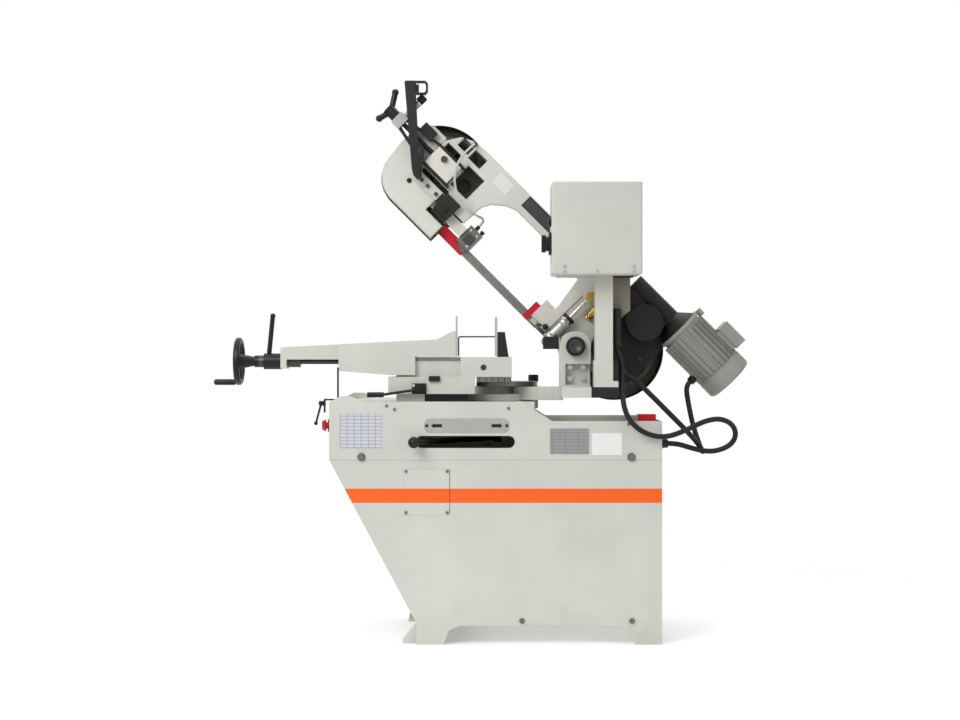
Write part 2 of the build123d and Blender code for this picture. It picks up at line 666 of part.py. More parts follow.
case += rod("X", tunnel_left, motor_front - 40, worm_y, worm_v, tunnel_radius)
case += block(tunnel_left, motor_front - 40, worm_y - 30, worm_y + 30, lay_v, worm_v)
case += cone("X", motor_front - 40, motor_front, worm_y, worm_v, tunnel_radius, motor_radius - 12)
case += block(drive_u - 62, drive_u + 62, worm_y, frame_front, lay_v, worm_v)
room = 3.0
case -= rod("Y", gear_y0 - room, gear_y1 + room, drive_u, wheel_v, gear_radius + room)
case -= rod("Y", gear_y0 - room, gear_y1 + room, drive_u, lay_v, pinion_radius + room)
case -= rod("Y", worm_y - wheel_half - room, worm_y + wheel_half + room, drive_u, lay_v,
            worm_wheel_radius + room)
case -= rod("X", 50, 170, worm_y, worm_v, worm_radius + room)
case -= rod("X", 8, motor_front + 1, worm_y, worm_v, 12 + run_gap)
case -= rod("Y", shaft_y0 - 1, frame_front + 1, drive_u, wheel_v, shaft_radius + run_gap)
case -= rod("Y", lay_y0 - 1, lay_y1 + 0.5, drive_u, lay_v, lay_radius + run_gap)
bow_nodes["gear_case"] = case
rotor = rod("X", 10, motor_end - 10, worm_y, worm_v, 12)
rotor += rod("X", 55, 165, worm_y, worm_v, worm_radius)
rotor += rod("X", 240, 380, worm_y, worm_v, 44)
fan = rod("X", motor_end - 44, motor_end - 36, worm_y, worm_v, 68)
for i in range(8):
    blade_turn = Pos(0, worm_y, worm_v) * Rot(45 * i, 0, 0)
    fan += blade_turn * Pos(motor_end - 28, 0, 44) * Box(16, 3, 40)
bow_nodes["motor_rotor"] = rotor + fan

# Motor: finned body, stator, fan cover and terminal box
core_radius = motor_radius - 11
fan_start = motor_end - 55
body = rod("X", motor_front, fan_start, worm_y, worm_v, core_radius)
body += rod("X", motor_front, motor_front + 12, worm_y, worm_v, motor_radius - 4)
fins = 24
for i in range(fins):
    turn = Pos(0, worm_y, worm_v) * Rot(360 / fins * (i + 0.5), 0, 0)
    long = fan_start - motor_front - 30
    body += turn * Pos(motor_front + 24 + long / 2, 0, motor_radius - 8) * Box(long, 3.5, 15)
body += rod("X", fan_start - 6, fan_start + 10, worm_y, worm_v, motor_radius - 2)
body -= rod("X", motor_front + 20, fan_start - 12, worm_y, worm_v, core_radius - 6)
body -= rod("X", motor_front - 1, fan_start + 11, worm_y, worm_v, 12 + run_gap)
lug = rod("X", motor_front + 2, motor_front + 26, worm_y, worm_v + motor_radius + 4, 11)
body += lug
body += ring("X", 245, 375, worm_y, worm_v, core_radius - 6, 44 + slide_gap)
gland_u = 362.0
gland_v = worm_v - motor_radius - 16
body += rod("Z", gland_v, worm_v - core_radius + 4, gland_u, worm_y, 13)
fan_cover = rod("X", fan_start, motor_end, worm_y, worm_v, motor_radius)
fan_cover = fillet(fan_cover.faces().sort_by(Axis.X)[-1].edges(), 12)
fan_room = rod("X", fan_start - 1, motor_end - 2, worm_y, worm_v, motor_radius - 2)
fan_cover -= fillet(fan_room.faces().sort_by(Axis.X)[-1].edges(), 10)
for i in range(3):
    radius = 22 + 16 * i
    fan_cover -= ring("X", motor_end - 4, motor_end + 1, worm_y, worm_v, radius + 4, radius)
for i in range(4):
    spoke = Pos(motor_end - 1, worm_y, worm_v) * Rot(90 * i + 45, 0, 0)
    fan_cover += spoke * Pos(0, 0, 38) * Box(2, 5, 50)
bow_nodes["fan_cover"] = fan_cover
box_u0, box_u1, box_v = 302.0, 390.0, worm_v + core_radius - 6
terminal = block(box_u0 + 6, box_u1 - 6, worm_y - 36, worm_y + 36, box_v, box_v + 24)
terminal -= rod("X", motor_front, fan_start, worm_y, worm_v, motor_radius - 4)
terminal += block(box_u0, box_u1, worm_y - 42, worm_y + 42, worm_v + motor_radius + 4, worm_v + 128)
bow_nodes["motor_body"] = body + terminal

# Blade tension: carriage with the idle wheel's axle, bracket, screw and two-armed handle
tension_v = 128.0
screw_r = 8.0
carriage_front = -98.0
carriage = block(-809, -703, carriage_front, frame_front - slide_gap, carriage_low, carriage_high)
carriage = chamfer(carriage.faces().sort_by(Axis.Y)[0].edges(), 2)
carriage += rod("Y", frame_front - 1, wheel_width / 2 + 2, idle_u, wheel_v, axle_radius)
carriage += rod("Y", wheel_width / 2 + slide_gap, wheel_width / 2 + 8, idle_u, wheel_v, axle_radius + 9)
carriage += rod("Y", carriage_front - 9, carriage_front + 1, -765, carriage_high - 20, 12)
carriage -= rod("X", -812, -770, carriage_front + 16, tension_v, screw_r + slide_gap)
bow_nodes["tension_carriage"] = carriage
tension_y = carriage_front + 16
rail_back, rail_front = frame_front, -92.0
end_u0, end_u1 = -985.0, -950.0
upper_arm = [
    (-690, carriage_high + slide_gap), (-690, 170), (idle_left, 170), (end_u1, 152), (end_u1, 140),
    (-826, carriage_high + slide_gap),
]
lower_arm = [
    (-690, carriage_low - slide_gap), (-690, 78), (idle_left, 78), (end_u1, 104), (end_u1, 116),
    (-826, carriage_low - slide_gap),
]
bracket = prism(upper_arm, rail_front, rail_back) + prism(lower_arm, rail_front, rail_back)
bracket += block(end_u0, end_u1, -104, -62, 104, 152)
bracket += rod("Z", 151, 178, end_u0 + 18, tension_y, 9)
bracket += rod("Z", 178, 186, end_u0 + 18, tension_y, 16)
bracket += rod("Z", 186, 244, end_u0 + 18, tension_y, 13)
bracket += block(-900, -846, -92, white_front - 1, 150, 188)
bracket -= rod("X", end_u0 - 1, end_u1 + 1, tension_y, tension_v, screw_r + run_gap)
bow_nodes["tension_bracket"] = bracket
handle_u = -1012.0
lever = rod("X", handle_u - 14, -800, tension_y, tension_v, screw_r)
lever += rod("X", handle_u - 16, end_u0 - slide_gap, tension_y, tension_v, 20)
for du, dv in ((-36.0, 57.0), (-12.0, -45.0)):
    tip_u, tip_v = handle_u + du, tension_v + dv
    arm_line = Edge.make_line((handle_u, tension_y, tension_v), (tip_u, tension_y, tip_v))
    lever += sweep(Plane(arm_line @ 0, z_dir=arm_line % 0) * Circle(10), path=arm_line)
    lever += Pos(tip_u, tension_y, tip_v) * Sphere(12)
bow_nodes["tension_handle"] = lever

# Blade guides: clamp and plate on the frame, sliding bar with its head, fixed head on a bracket
bar_v0, bar_v1, bar_y0, bar_y1 = -6.0, 30.0, -50.0, -24.0
clamp_u0, clamp_u1 = -680.0, -614.0
clamp_front = -92.0
clamp = block(clamp_u0, clamp_u1, clamp_front, frame_front, 0, 68)
clamp = chamfer(clamp.faces().sort_by(Axis.Y)[0].edges(), 2)
clamp += block(clamp_u0 + 2, clamp_u1 - 2, frame_front, bar_y0 - slide_gap, -14, frame_low - seat_gap)
clamp += block(clamp_u0 + 2, clamp_u1 - 2, frame_front, bar_y1 - 2, -14, bar_v0 - slide_gap)
clamp += block(clamp_u0 + 2, clamp_u1 - 2, frame_front, bar_y1 - 2, bar_v1 + slide_gap, frame_low)
clamp += block(-805, clamp_u0, -74, frame_front, 20, 56)
for u, v in ((-772, 37), (-743, 37), (-704, 37)):
    clamp += rod("Y", -80, -74, u, v, 7)
knob_u, knob_v = (clamp_u0 + clamp_u1) / 2, 22.0
knob_front = clamp_front - 11
clamp -= rod("Y", clamp_front - 1, bar_y0, knob_u, knob_v, 6 + run_gap)
bow_nodes["guide_clamp"] = clamp
knob = rod("Y", clamp_front - 2, bar_y0 - slide_gap, knob_u, knob_v, 6)
knob += rod("Y", knob_front, clamp_front - seat_gap, knob_u, knob_v, 12)
for i in range(6):
    a = math.radians(60 * i)
    knob -= rod("Y", knob_front - 1, clamp_front, knob_u + 14.5 * math.cos(a), knob_v + 14.5 * math.sin(a), 4)
bow_nodes["guide_knob"] = knob


def guide_head(u0, u1):
    """A block either side of the blade with a clearance slot and a backing roller's seat."""
    head = block(u0, u1, -40, 30, -24, 50)
    return head - block(u0 - 1, u1 + 1, -2.5, 2.5, -25, run_v + half_w + 3)


slide_u0, slide_u1 = -545.0, -490.0
bar = block(-795, slide_u0, bar_y0, bar_y1, bar_v0, bar_v1)
bar += guide_head(slide_u0, slide_u1)
for side in (-1, 1):
    jaw_y = sorted((side * 2.5, side * 0.8))
    bar += block(slide_u0 + 8, slide_u1 - 8, jaw_y[0], jaw_y[1], -24, -6)
    bar += block(slide_u0 + 8, slide_u1 - 8, *sorted((side * 0.8, side * 14)), run_v - half_w + 5, -23)
bar += rod("Z", 49, 66, -523, -20, 7)
bow_nodes["guide_bar"] = bar
guard_left = -612.0
red_y = 14.3
head_u = slide_u0 - seat_gap
red_side = [(guard_left, -50), (slide_u1 - 10, -50), (slide_u1 - 10, -45), (head_u, -27), (head_u, -13),
            (guard_left, -13)]
red = prism(red_side, red_y, red_y + 3) + prism(red_side, -red_y - 3, -red_y)
red += block(guard_left, head_u, -red_y - 3, red_y + 3, -16, -13)
bow_nodes["slide_guard"] = red
fixed_u0, fixed_u1 = -178.0, -137.0
fixed = guide_head(fixed_u0, fixed_u1) + block(fixed_u0, fixed_u1, frame_front, -39, -24, 50)
for side in (-1, 1):
    fixed += block(fixed_u0 + 8, fixed_u1 - 8, *sorted((side * 2.5, side * 0.8)), -24, -6)
    fixed += block(fixed_u0 + 8, fixed_u1 - 8, *sorted((side * 0.8, side * 14)), run_v - half_w + 5, -23)
fixed += block(fixed_u0, -103, frame_front - 5, frame_front, -15, 40)
fixed += block(-127, -103, frame_front - 5, frame_front, -15, 145)
fixed += rod("Y", -80, frame_front - 4, -116, -20, 8) + block(-127, -105, frame_front - 5, frame_front, -32, -14)
bow_nodes["fixed_guide"] = fixed
guard_u1 = fixed_u0 - seat_gap
red = block(-200, guard_u1, 6, 9, -46, 24) + block(-200, guard_u1, -9, -6, -46, 24)
red += block(-200, guard_u1, -9, 9, 21, 24) + block(guard_u1 - 4, guard_u1, -30, -6, -20, 24)
bow_nodes["fixed_guard"] = red

# Damper: a barrel on the swivel arm, a rod on the bow's pin and a brass valve beside it
damper_y = -93.0
low_u, low_v = -80.0, -55.0
top_v = 160.0
barrel_r = 20.0
eye_half = 8.0
pin_radius = 6.0
barrel_top = 62.0
barrel = rod("Y", damper_y - eye_half, damper_y + eye_half, low_u, low_v, 15)
barrel += rod("Z", low_v + 12, barrel_top, low_u, damper_y, barrel_r)
barrel -= rod("Z", low_v + 30, barrel_top + 1, low_u, damper_y, 7 + slide_gap)
barrel -= rod("Y", damper_y - 20, damper_y + 20, low_u, low_v, pin_radius + run_gap)
bow_nodes["damper_barrel"] = barrel
eye_hole = 13.5
piston = rod("Z", low_v + 108, top_v - 14, low_u, damper_y, 7)
piston += rod("Y", damper_y - eye_half, damper_y + eye_half, low_u, top_v, 20)
piston -= rod("Y", damper_y - 20, damper_y + 20, low_u, top_v, eye_hole)
bow_nodes["damper_rod"] = piston
pin = rod("Y", damper_y - eye_half - 4, frame_front, low_u, top_v, pin_radius)
pin += rod("Y", damper_y - eye_half - 8, damper_y - eye_half - 2, low_u, top_v, 17)
pin += rod("Y", damper_y + eye_half + 2, frame_front, low_u, top_v, 17)
pin += rod("Z", 100, 168, -36, frame_front - 14, 13) + rod("Z", 118, 128, -36, frame_front - 14, 14)
pin += rod("Y", frame_front - 14, frame_front, -36, 130, 8)
bow_nodes["brass_valve"] = pin

# Pull handle in front of the idle end, with a finger guard and a trigger
grip_y0, grip_y1 = -128.0, -106.0
grip_top = 1890.0
trigger_high = grip_top - 12
trigger_low = trigger_high - 26
grip = prism([(-417, grip_top - 4), (-413, grip_top), (-383, grip_top), (-380, grip_top - 4), (-366, 1590),
              (-362, 1560), (-372, 1553), (-386, 1568), (-392, 1590)], grip_y0, grip_y1)
grip += prism([(-384, grip_top), (-345, grip_top), (-337, grip_top - 10), (-337, trigger_low),
               (-345, trigger_low - 9), (-384, trigger_low - 9)], grip_y0 + 3, grip_y1 - 3)
grip -= prism([(-378, trigger_high + 5), (-348, trigger_high + 5), (-344, trigger_high - 2),
               (-344, trigger_low + 4), (-350, trigger_low - 2), (-378, trigger_low - 2)], grip_y0, grip_y1)
grip += prism([(-388, 1700), (-374, 1696), (-350, 1660), (-356, 1580), (-370, 1580), (-364, 1655)],
              grip_y0 + 3, grip_y1 - 3)
trigger_y0, trigger_y1 = -122.0, -112.0
grip -= block(-396, -376, trigger_y0 - slide_gap, trigger_y1 + slide_gap,
              trigger_low - slide_gap, trigger_high + slide_gap)
foot_u, foot_v = -790.0, 42.0
half = math.sqrt(0.5)
foot_x = pivot_x + (foot_u + foot_v) * half
foot_z = pivot_z + (foot_v - foot_u) * half
grip += rod("Y", grip_y1 - 1, -74, foot_x, foot_z, 9)
nodes["pull_handle"] = grip
trigger = block(-389, -368, trigger_y0, trigger_y1, trigger_low, trigger_high)
nodes["trigger"] = trigger

# Vice: bed with the fixed jaw, sliding arm, screw with its handwheel, quick lever, lock lever
screw_y = -170.0
walls_out, walls_in = 130.0 / 2, 90.0 / 2
vice = block(vice_left, -177, vice_front, vice_back, bed_low, bed_mid)
vice += block(-440, vice_right, screw_y - walls_in, screw_y + walls_in, bed_mid, work_high)
vice += block(-225, vice_right, vice_front, screw_y + walls_in, bed_mid, work_high)
vice -= block(-441, -135, screw_y - 12, screw_y + 12, screw_z - 12, work_high + 1)
nut = block(-440, -410, screw_y - 12, screw_y + 12, screw_z - 12, work_high)
vice += nut - rod("X", -441, -409, screw_y, screw_z, screw_radius + run_gap)
vice -= block(-441, -225, screw_y - walls_in - 1, screw_y - walls_in + 12, work_high - 13, work_high + 1)
jaw_back = work_high + 83.5
jaw_outline = [(jaw_face, work_high - 1), (jaw_face, jaw_back), (jaw_face + 25, jaw_back),
               (jaw_face + 38, work_high - 1)]
vice += prism(jaw_outline, vice_front, vice_back)
vice -= slab([(-84, vice_front + 13), (-40, vice_front + 13), (-40, -100), (-104, -100), (-84, -120.6)],
             work_high, jaw_back + 1)
vice -= block(-323, -293, vice_front - 1, vice_front + 30, bed_mid - 11, bed_mid + 1)
stop_bore = 10.0
stop_bore_x, stop_bore_z, stop_bore_deep = -148.0, bed_mid + 31.5, 40.0
vice -= rod("Y", vice_front - 1, vice_front + stop_bore_deep, stop_bore_x, stop_bore_z, stop_bore)
lock_x, lock_z = -363.0, bed_low + 18
vice += block(lock_x - 24, lock_x + 24, vice_front - 8, vice_front, bed_low, bed_low + 36)
vice -= rod("Y", vice_front - 9, vice_front + 12, lock_x, lock_z, 6 + run_gap)
wire = 2.5
wire_y = vice_back + wire + 1
wire_top, wire_left = work_high + 69.5, -233.0
wire_right = jaw_face + 1
wire_path = FilletPolyline((wire_left, wire_y, work_high + 3.5), (wire_left, wire_y, wire_top),
                           (wire_right, wire_y, wire_top), (wire_right, wire_y, work_high + 10.5), radius=6)
work_stop = sweep(Plane(wire_path @ 0, z_dir=wire_path % 0) * Circle(wire), path=wire_path)
for z in (work_high + 26, work_high + 55):
    work_stop += block(wire_right - 2, wire_right + 2, vice_back, wire_y, z - 2, z + 2)
nodes["work_stop"] = work_stop
nodes["vice_bed"] = vice
plate_low = work_high + 3.5
plate_thick = 8.0
nodes["fixed_jaw_plate"] = block(jaw_face - plate_thick, jaw_face, vice_front, vice_back,
                                 plate_low, plate_low + 130)

arm_face = -241.0
arm_low = work_high + 1.5
crest, shoulder = work_high + 86.5, work_high + 58.5
slide_arm = prism([(-828, work_high + 32.5), (-303, shoulder), (-250, crest), (arm_face, crest), (arm_face, arm_low),
                   (-632, arm_low), (-632, work_high - 8.5), (-828, work_high - 8.5)],
                  screw_y - walls_in, screw_y + walls_in)
slide_arm += prism([(-632, work_high + 42.5), (-303, shoulder), (-250, crest), (arm_face, crest),
                    (arm_face, arm_low), (-632, arm_low)], vice_front, vice_back)
wall = [(-632, work_high - 46.5), (-632, arm_low + 2), (-376, arm_low + 2), (-376, bed_mid + 6),
        (-452, bed_mid + 6)]
slide_arm += prism(wall, vice_front, screw_y - walls_in - slide_gap)
slide_arm += prism(wall, screw_y + walls_in + slide_gap, vice_back)
lug_x0, lug_x1 = -828.0, -808.0
slide_arm += block(lug_x0, lug_x1, screw_y - walls_in, screw_y + walls_in, screw_z - 24, screw_z + 15)
slide_arm -= rod("X", lug_x1, arm_face + 1, screw_y, screw_z, 22)
slide_arm -= rod("X", lug_x0 - 1, lug_x1 + 1, screw_y, screw_z, screw_radius + run_gap)
nodes["vice_arm"] = slide_arm
nodes["moving_jaw_plate"] = block(arm_face, arm_face + jaw_plate, vice_front, vice_back, plate_low - 1, jaw_high)

screw = rod("X", -975, -285, screw_y, screw_z, screw_radius)
screw += rod("X", lug_x1 + seat_gap, -765, screw_y, screw_z, 20)
quick_x0, quick_x1 = -888.0, lug_x0 - seat_gap
screw += rod("X", -920, quick_x0 - seat_gap, screw_y, screw_z, 20)
rim_x0, rim_x1 = -983.0, -963.0
rim_x = (rim_x0 + rim_x1) / 2
screw += cone("X", -972, -918, screw_y, screw_z, 26, 15)
rim_deep = 18.0
rim = rod("X", rim_x0, rim_x1, screw_y, screw_z, wheel_rim_radius)
rim -= rod("X", rim_x0 - 1, rim_x1 + 1, screw_y, screw_z, wheel_rim_radius - rim_deep)
rim = chamfer(rim.edges().filter_by(GeomType.CIRCLE), rim_deep * 0.28)
screw += rim
for turn in (90, 210, 330):
    spoke = Pos(rim_x, screw_y, screw_z) * Rot(turn, 0, 0)
    screw += spoke * Pos(0, 0, 40) * Cylinder(6, 60)
crank_z = screw_z - wheel_rim_radius + 10
pin_long = -1054.0
screw += rod("X", pin_long, rim_x0 + 8, screw_y, crank_z, 4)
screw += rod("X", pin_long - 3, pin_long, screw_y, crank_z, 6)
nodes["vice_screw"] = screw
crank = rod("X", pin_long + seat_gap, rim_x0 - 2, screw_y, crank_z, 10)
crank = fillet(crank.edges().filter_by(GeomType.CIRCLE), 2)
nodes["crank_grip"] = crank - rod("X", pin_long - 1, rim_x0, screw_y, crank_z, 4 + run_gap)
quick = ring("X", quick_x0, quick_x1, screw_y, screw_z, 27, screw_radius + run_gap)
bar_line = Edge.make_line((-872, screw_y, screw_z + 20), (-859, screw_y, screw_z + 153))
quick += sweep(Plane(bar_line @ 0, z_dir=bar_line % 0) * Circle(8), path=bar_line)
quick += Pos(-859, screw_y, screw_z + 153) * Sphere(9)
nodes["quick_lever"] = quick
lock = rod("Y", vice_front - 28, vice_front - 8 - seat_gap, lock_x, lock_z, 15)
lock += rod("Y", vice_front - 20, vice_front + 8, lock_x, lock_z, 6)
lock += hex_bolt("Y", vice_front - 28, lock_x, lock_z, 17, 7, -1)
lock_y = vice_front - 18
bar_line = Edge.make_line((lock_x, lock_y, lock_z - 2), (-484, lock_y, lock_z - 20))
lock += sweep(Plane(bar_line @ 0, z_dir=bar_line % 0) * Circle(4.5), path=bar_line)
lock += rod("X", -535, -480, lock_y, lock_z - 20, 8.5)
nodes["vice_lock_lever"] = lock

# Conduits and the coolant tube: straight runs joined by arcs that touch both
def hose(name, points, radius):
    corners = [Vector(*p) for p in points]
    runs = [b - a for a, b in zip(corners, corners[1:])]
    radii = []
    for a, b in zip(runs, runs[1:]):
        turn = math.radians(a.get_angle(b))
        radii.append(0.45 * min(a.length, b.length) / math.tan(turn / 2))
    path = FilletPolyline(*points, radius=radii)
    print(name, "radius", radius, "bends", [round(r) for r in radii], "length", round(path.length))
    return sweep(Plane(path @ 0, z_dir=path % 0) * Circle(radius), path=path)


conduit_radius = 9.0
tube_radius = 4.0
conduit_a = [
    (294, -262, 985), (294, -262, 970), (309, -264, 946), (310, -268, 905), (311, -280, 850), (312, -312, 780),
    (342, -318, 724), (400, -318, 690), (460, -314, 686), (530, -304, 714), (580, -294, 738),
    (630, -284, 747), (672, -274, 731), (690, -264, 699), (682, -254, 666), (650, -246, 643),
    (602, -238, 633), (546, -231, 645), (498, -230, 661), (466, -230, 661),
]
gland_x = pivot_x + (gland_u + gland_v) * half
gland_low = pivot_z + (gland_v - gland_u) * half
conduit_b = [
    (310, -246, 892), (336, -246, 892), (390, -248, 842), (470, -246, 762), (540, -238, 692),
    (580, -218, 646), (592, -180, 626), (584, -150, 650), (562, -138, 720), (546, -136, 800),
    (gland_x - 14, worm_y, gland_low - 14), (gland_x, worm_y, gland_low),
]
nodes["conduit_a"] = hose("conduit_a", conduit_a, conduit_radius)
nodes["conduit_b"] = hose("conduit_b", conduit_b, conduit_radius)
tube_route = [
    (-730, frame_front, 253), (-730, -90, 253), (-730, -112, 228), (-730, -114, 190), (-718, -114, 150),
    (-684, -114, 106), (-640, -112, 82), (-592, -100, 74), (-552, -76, 84), (-530, -32, 96),
    (-523, -20, 84), (-523, -20, 66),
]
bow_nodes["coolant_tube"] = hose("coolant_tube", tube_route, tube_radius)

os.makedirs("parts", exist_ok=True)
for name, shape in bow_nodes.items():
    nodes[name] = bow_place() * shape
for name, shape in nodes.items():
    export_step(shape, f"parts/{name}.step")
print(len(nodes), "nodes")
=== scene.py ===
import math

import bpy
import numpy as np
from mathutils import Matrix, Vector


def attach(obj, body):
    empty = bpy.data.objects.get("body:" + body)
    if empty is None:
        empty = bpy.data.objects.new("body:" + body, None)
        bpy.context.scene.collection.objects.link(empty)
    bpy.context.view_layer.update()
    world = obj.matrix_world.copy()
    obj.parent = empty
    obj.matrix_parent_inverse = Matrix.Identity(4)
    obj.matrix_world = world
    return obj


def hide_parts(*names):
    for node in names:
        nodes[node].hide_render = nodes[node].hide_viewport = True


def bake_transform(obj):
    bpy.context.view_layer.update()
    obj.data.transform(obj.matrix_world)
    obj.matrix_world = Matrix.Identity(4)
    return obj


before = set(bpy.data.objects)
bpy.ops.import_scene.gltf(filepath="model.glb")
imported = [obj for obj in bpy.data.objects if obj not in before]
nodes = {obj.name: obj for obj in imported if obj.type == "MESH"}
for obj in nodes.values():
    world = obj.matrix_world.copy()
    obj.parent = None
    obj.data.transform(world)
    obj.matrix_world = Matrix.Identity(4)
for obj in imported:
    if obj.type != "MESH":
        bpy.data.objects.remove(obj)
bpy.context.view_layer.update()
print("frame loaded:", len(nodes), "nodes")

# The bow's own axes at rest: u runs along the blade, v away from its teeth
bowAxes = {"pivot": (0.160, 0.985), "tilt": math.sqrt(0.5)}


def bowPoint(u, v, y):
    # millimetres on the bow to metres in the frame
    x0, z0 = bowAxes["pivot"]
    k = bowAxes["tilt"] / 1000
    return (x0 + (u + v) * k, y / 1000, z0 + (v - u) * k)


def bowPoints(uvy):
    # the same for an array of (u, v, y) rows
    u, v, y = np.moveaxis(np.asarray(uvy, float), -1, 0)
    return np.stack(bowPoint(u, v, y), -1)


class Wire:
    # a socket that adds Math nodes when it is used in an expression
    def __init__(self, finish, socket):
        self.finish, self.socket = finish, socket

    def math(self, kind, a, b):
        made = self.finish.node("ShaderNodeMath", {"operation": kind}, {0: a, 1: b})
        return Wire(self.finish, made.outputs[0])

    def __add__(self, other):
        return self.math("ADD", self, other)

    def __radd__(self, other):
        return self.math("ADD", other, self)

    def __sub__(self, other):
        return self.math("SUBTRACT", self, other)

    def __rsub__(self, other):
        return self.math("SUBTRACT", other, self)

    def __mul__(self, other):
        return self.math("MULTIPLY", self, other)

    def __rmul__(self, other):
        return self.math("MULTIPLY", other, self)

    def __truediv__(self, other):
        return self.math("DIVIDE", self, other)

    def __gt__(self, other):
        return self.math("GREATER_THAN", self, other)

    def __lt__(self, other):
        return self.math("LESS_THAN", self, other)

    def fract(self):
        return self.math("FRACT", self, 0)


plainGloss = 0.28  # specular level of every finish


class Finish:
    # one material: its nodes, its shader and the object's coordinates
    def __init__(self, name, **shader):
        self.material = bpy.data.materials.new(name)
        self.material.use_nodes = True
        self.tree = self.material.node_tree
        self.shader = next(n for n in self.tree.nodes if n.type == "BSDF_PRINCIPLED")
        self.here = None
        self.shader.inputs["Specular IOR Level"].default_value = plainGloss
        for socket, value in shader.items():
            self.shader.inputs[socket].default_value = value

    def node(self, kind, settings=None, sockets=None):
        # a node of one type: its settings first, then the values or links of its sockets
        made = self.tree.nodes.new(kind)
        for key, value in (settings or {}).items():
            setattr(made, key, value)
        for key, value in (sockets or {}).items():
            self.feed(made.inputs[key], value)
        return made

    def feed(self, socket, value):
        # a link where the value comes from a node, else a plain value
        if isinstance(value, Wire):
            self.tree.links.new(value.socket, socket)
        elif isinstance(value, bpy.types.NodeSocket):
            self.tree.links.new(value, socket)
        else:
            socket.default_value = value

    def place(self):
        # the place on the object in metres, as a vector and as x, y and z
        if self.here is None:
            made = self.node("ShaderNodeTexCoord")
            split = self.node("ShaderNodeSeparateXYZ", {}, {0: made.outputs["Object"]})
            self.here = (made.outputs["Object"],) + tuple(Wire(self, s) for s in split.outputs)
        return self.here

    def onBow(self):
        # u and v of the bow, in metres from its pivot
        _, x, y, z = self.place()
        x0, z0 = bowAxes["pivot"]
        k = bowAxes["tilt"]
        return ((x - x0) - (z - z0)) * k, ((x - x0) + (z - z0)) * k, y

    def noise(self, scale, detail=3.0, rough=0.55, stretch=None):
        # cloudy values round a half, finer along a direction that has a larger stretch
        spot = self.place()[0]
        if stretch:
            spot = self.node("ShaderNodeMapping", {}, {0: spot, 3: stretch}).outputs[0]
        made = self.node("ShaderNodeTexNoise", {}, {"Vector": spot, "Scale": scale, "Detail": detail,
                                                    "Roughness": rough})
        return Wire(self, made.outputs["Fac"])

    def ease(self, wire, low, high, start=0.0, end=1.0):
        # from start at low to end at high, with a soft turn at both
        made = self.node("ShaderNodeMapRange", {"interpolation_type": "SMOOTHSTEP"},
                         {0: wire, 1: low, 2: high, 3: start, 4: end})
        return Wire(self, made.outputs[0])

    def blend(self, factor, a, b):
        # two colours; a mix node keeps those in its sockets 6 and 7
        return self.node("ShaderNodeMix", {"data_type": "RGBA"}, {0: factor, 6: a, 7: b}).outputs[2]

    def relief(self, height, strength, distance, normal=None):
        # a normal that leans as if the height stood out of the face
        sockets = {"Height": height, "Strength": strength, "Distance": distance}
        if normal is not None:
            sockets["Normal"] = normal
        return self.node("ShaderNodeBump", {}, sockets).outputs[0]

    def edges(self, radius):
        # the softened normal of an edge, and how far it leans from the face
        soft = self.node("ShaderNodeBevel", {"samples": 4}, {"Radius": radius}).outputs[0]
        flat = self.node("ShaderNodeNewGeometry").outputs["Normal"]
        return soft, 1 - self.dot(soft, flat)

    def dot(self, a, b):
        made = self.node("ShaderNodeVectorMath", {"operation": "DOT_PRODUCT"}, {0: a, 1: b})
        return Wire(self, made.outputs["Value"])

    def away(self, spot):
        # distance of a place from zero
        made = self.node("ShaderNodeVectorMath", {"operation": "LENGTH"}, {0: spot})
        return Wire(self, made.outputs["Value"])

    def set(self, **links):
        # feeds the shader's own sockets
        names = {"colour": "Base Color", "rough": "Roughness", "metal": "Metallic", "normal": "Normal"}
        for key, value in links.items():
            self.feed(self.shader.inputs[names[key]], value)
        return self


def rgba(colour, gain=1.0):
    # a colour made lighter or darker, with full alpha
    return tuple(min(1.0, c * gain) for c in colour[:3]) + (1.0,)


def srgb(r, g, b):
    # a colour read as 0 to 255 on screen, turned linear
    return tuple(((c / 255 + 0.055) / 1.055) ** 2.4 if c > 10 else c / 255 / 12.92 for c in (r, g, b))


# Finishes
tones = {
    "paint": srgb(206, 206, 197), "shade": srgb(190, 187, 176), "white": srgb(214, 215, 205),
    "pale": srgb(216, 210, 200), "orange": srgb(246, 102, 34), "red": srgb(206, 24, 44),
    "black": srgb(14, 14, 15), "charcoal": srgb(25, 24, 23), "rubber": srgb(15, 15, 16),
    "motor": srgb(148, 150, 142), "head": srgb(112, 111, 106), "iron": srgb(92, 90, 86),
    "wheel": srgb(60, 58, 56), "steel": srgb(176, 176, 174), "bright": srgb(200, 200, 198),
    "barrel": srgb(170, 170, 168), "bed": srgb(112, 112, 106), "darkSteel": srgb(120, 118, 114),
    "screw": srgb(74, 72, 70), "blackened": srgb(70, 70, 70), "bolt": srgb(112, 114, 112),
    "brass": srgb(196, 160, 84), "bronze": srgb(150, 110, 62), "tan": srgb(178, 166, 140),
    "stain": srgb(132, 118, 106), "dust": srgb(150, 142, 126), "tube": srgb(186, 196, 190),
}


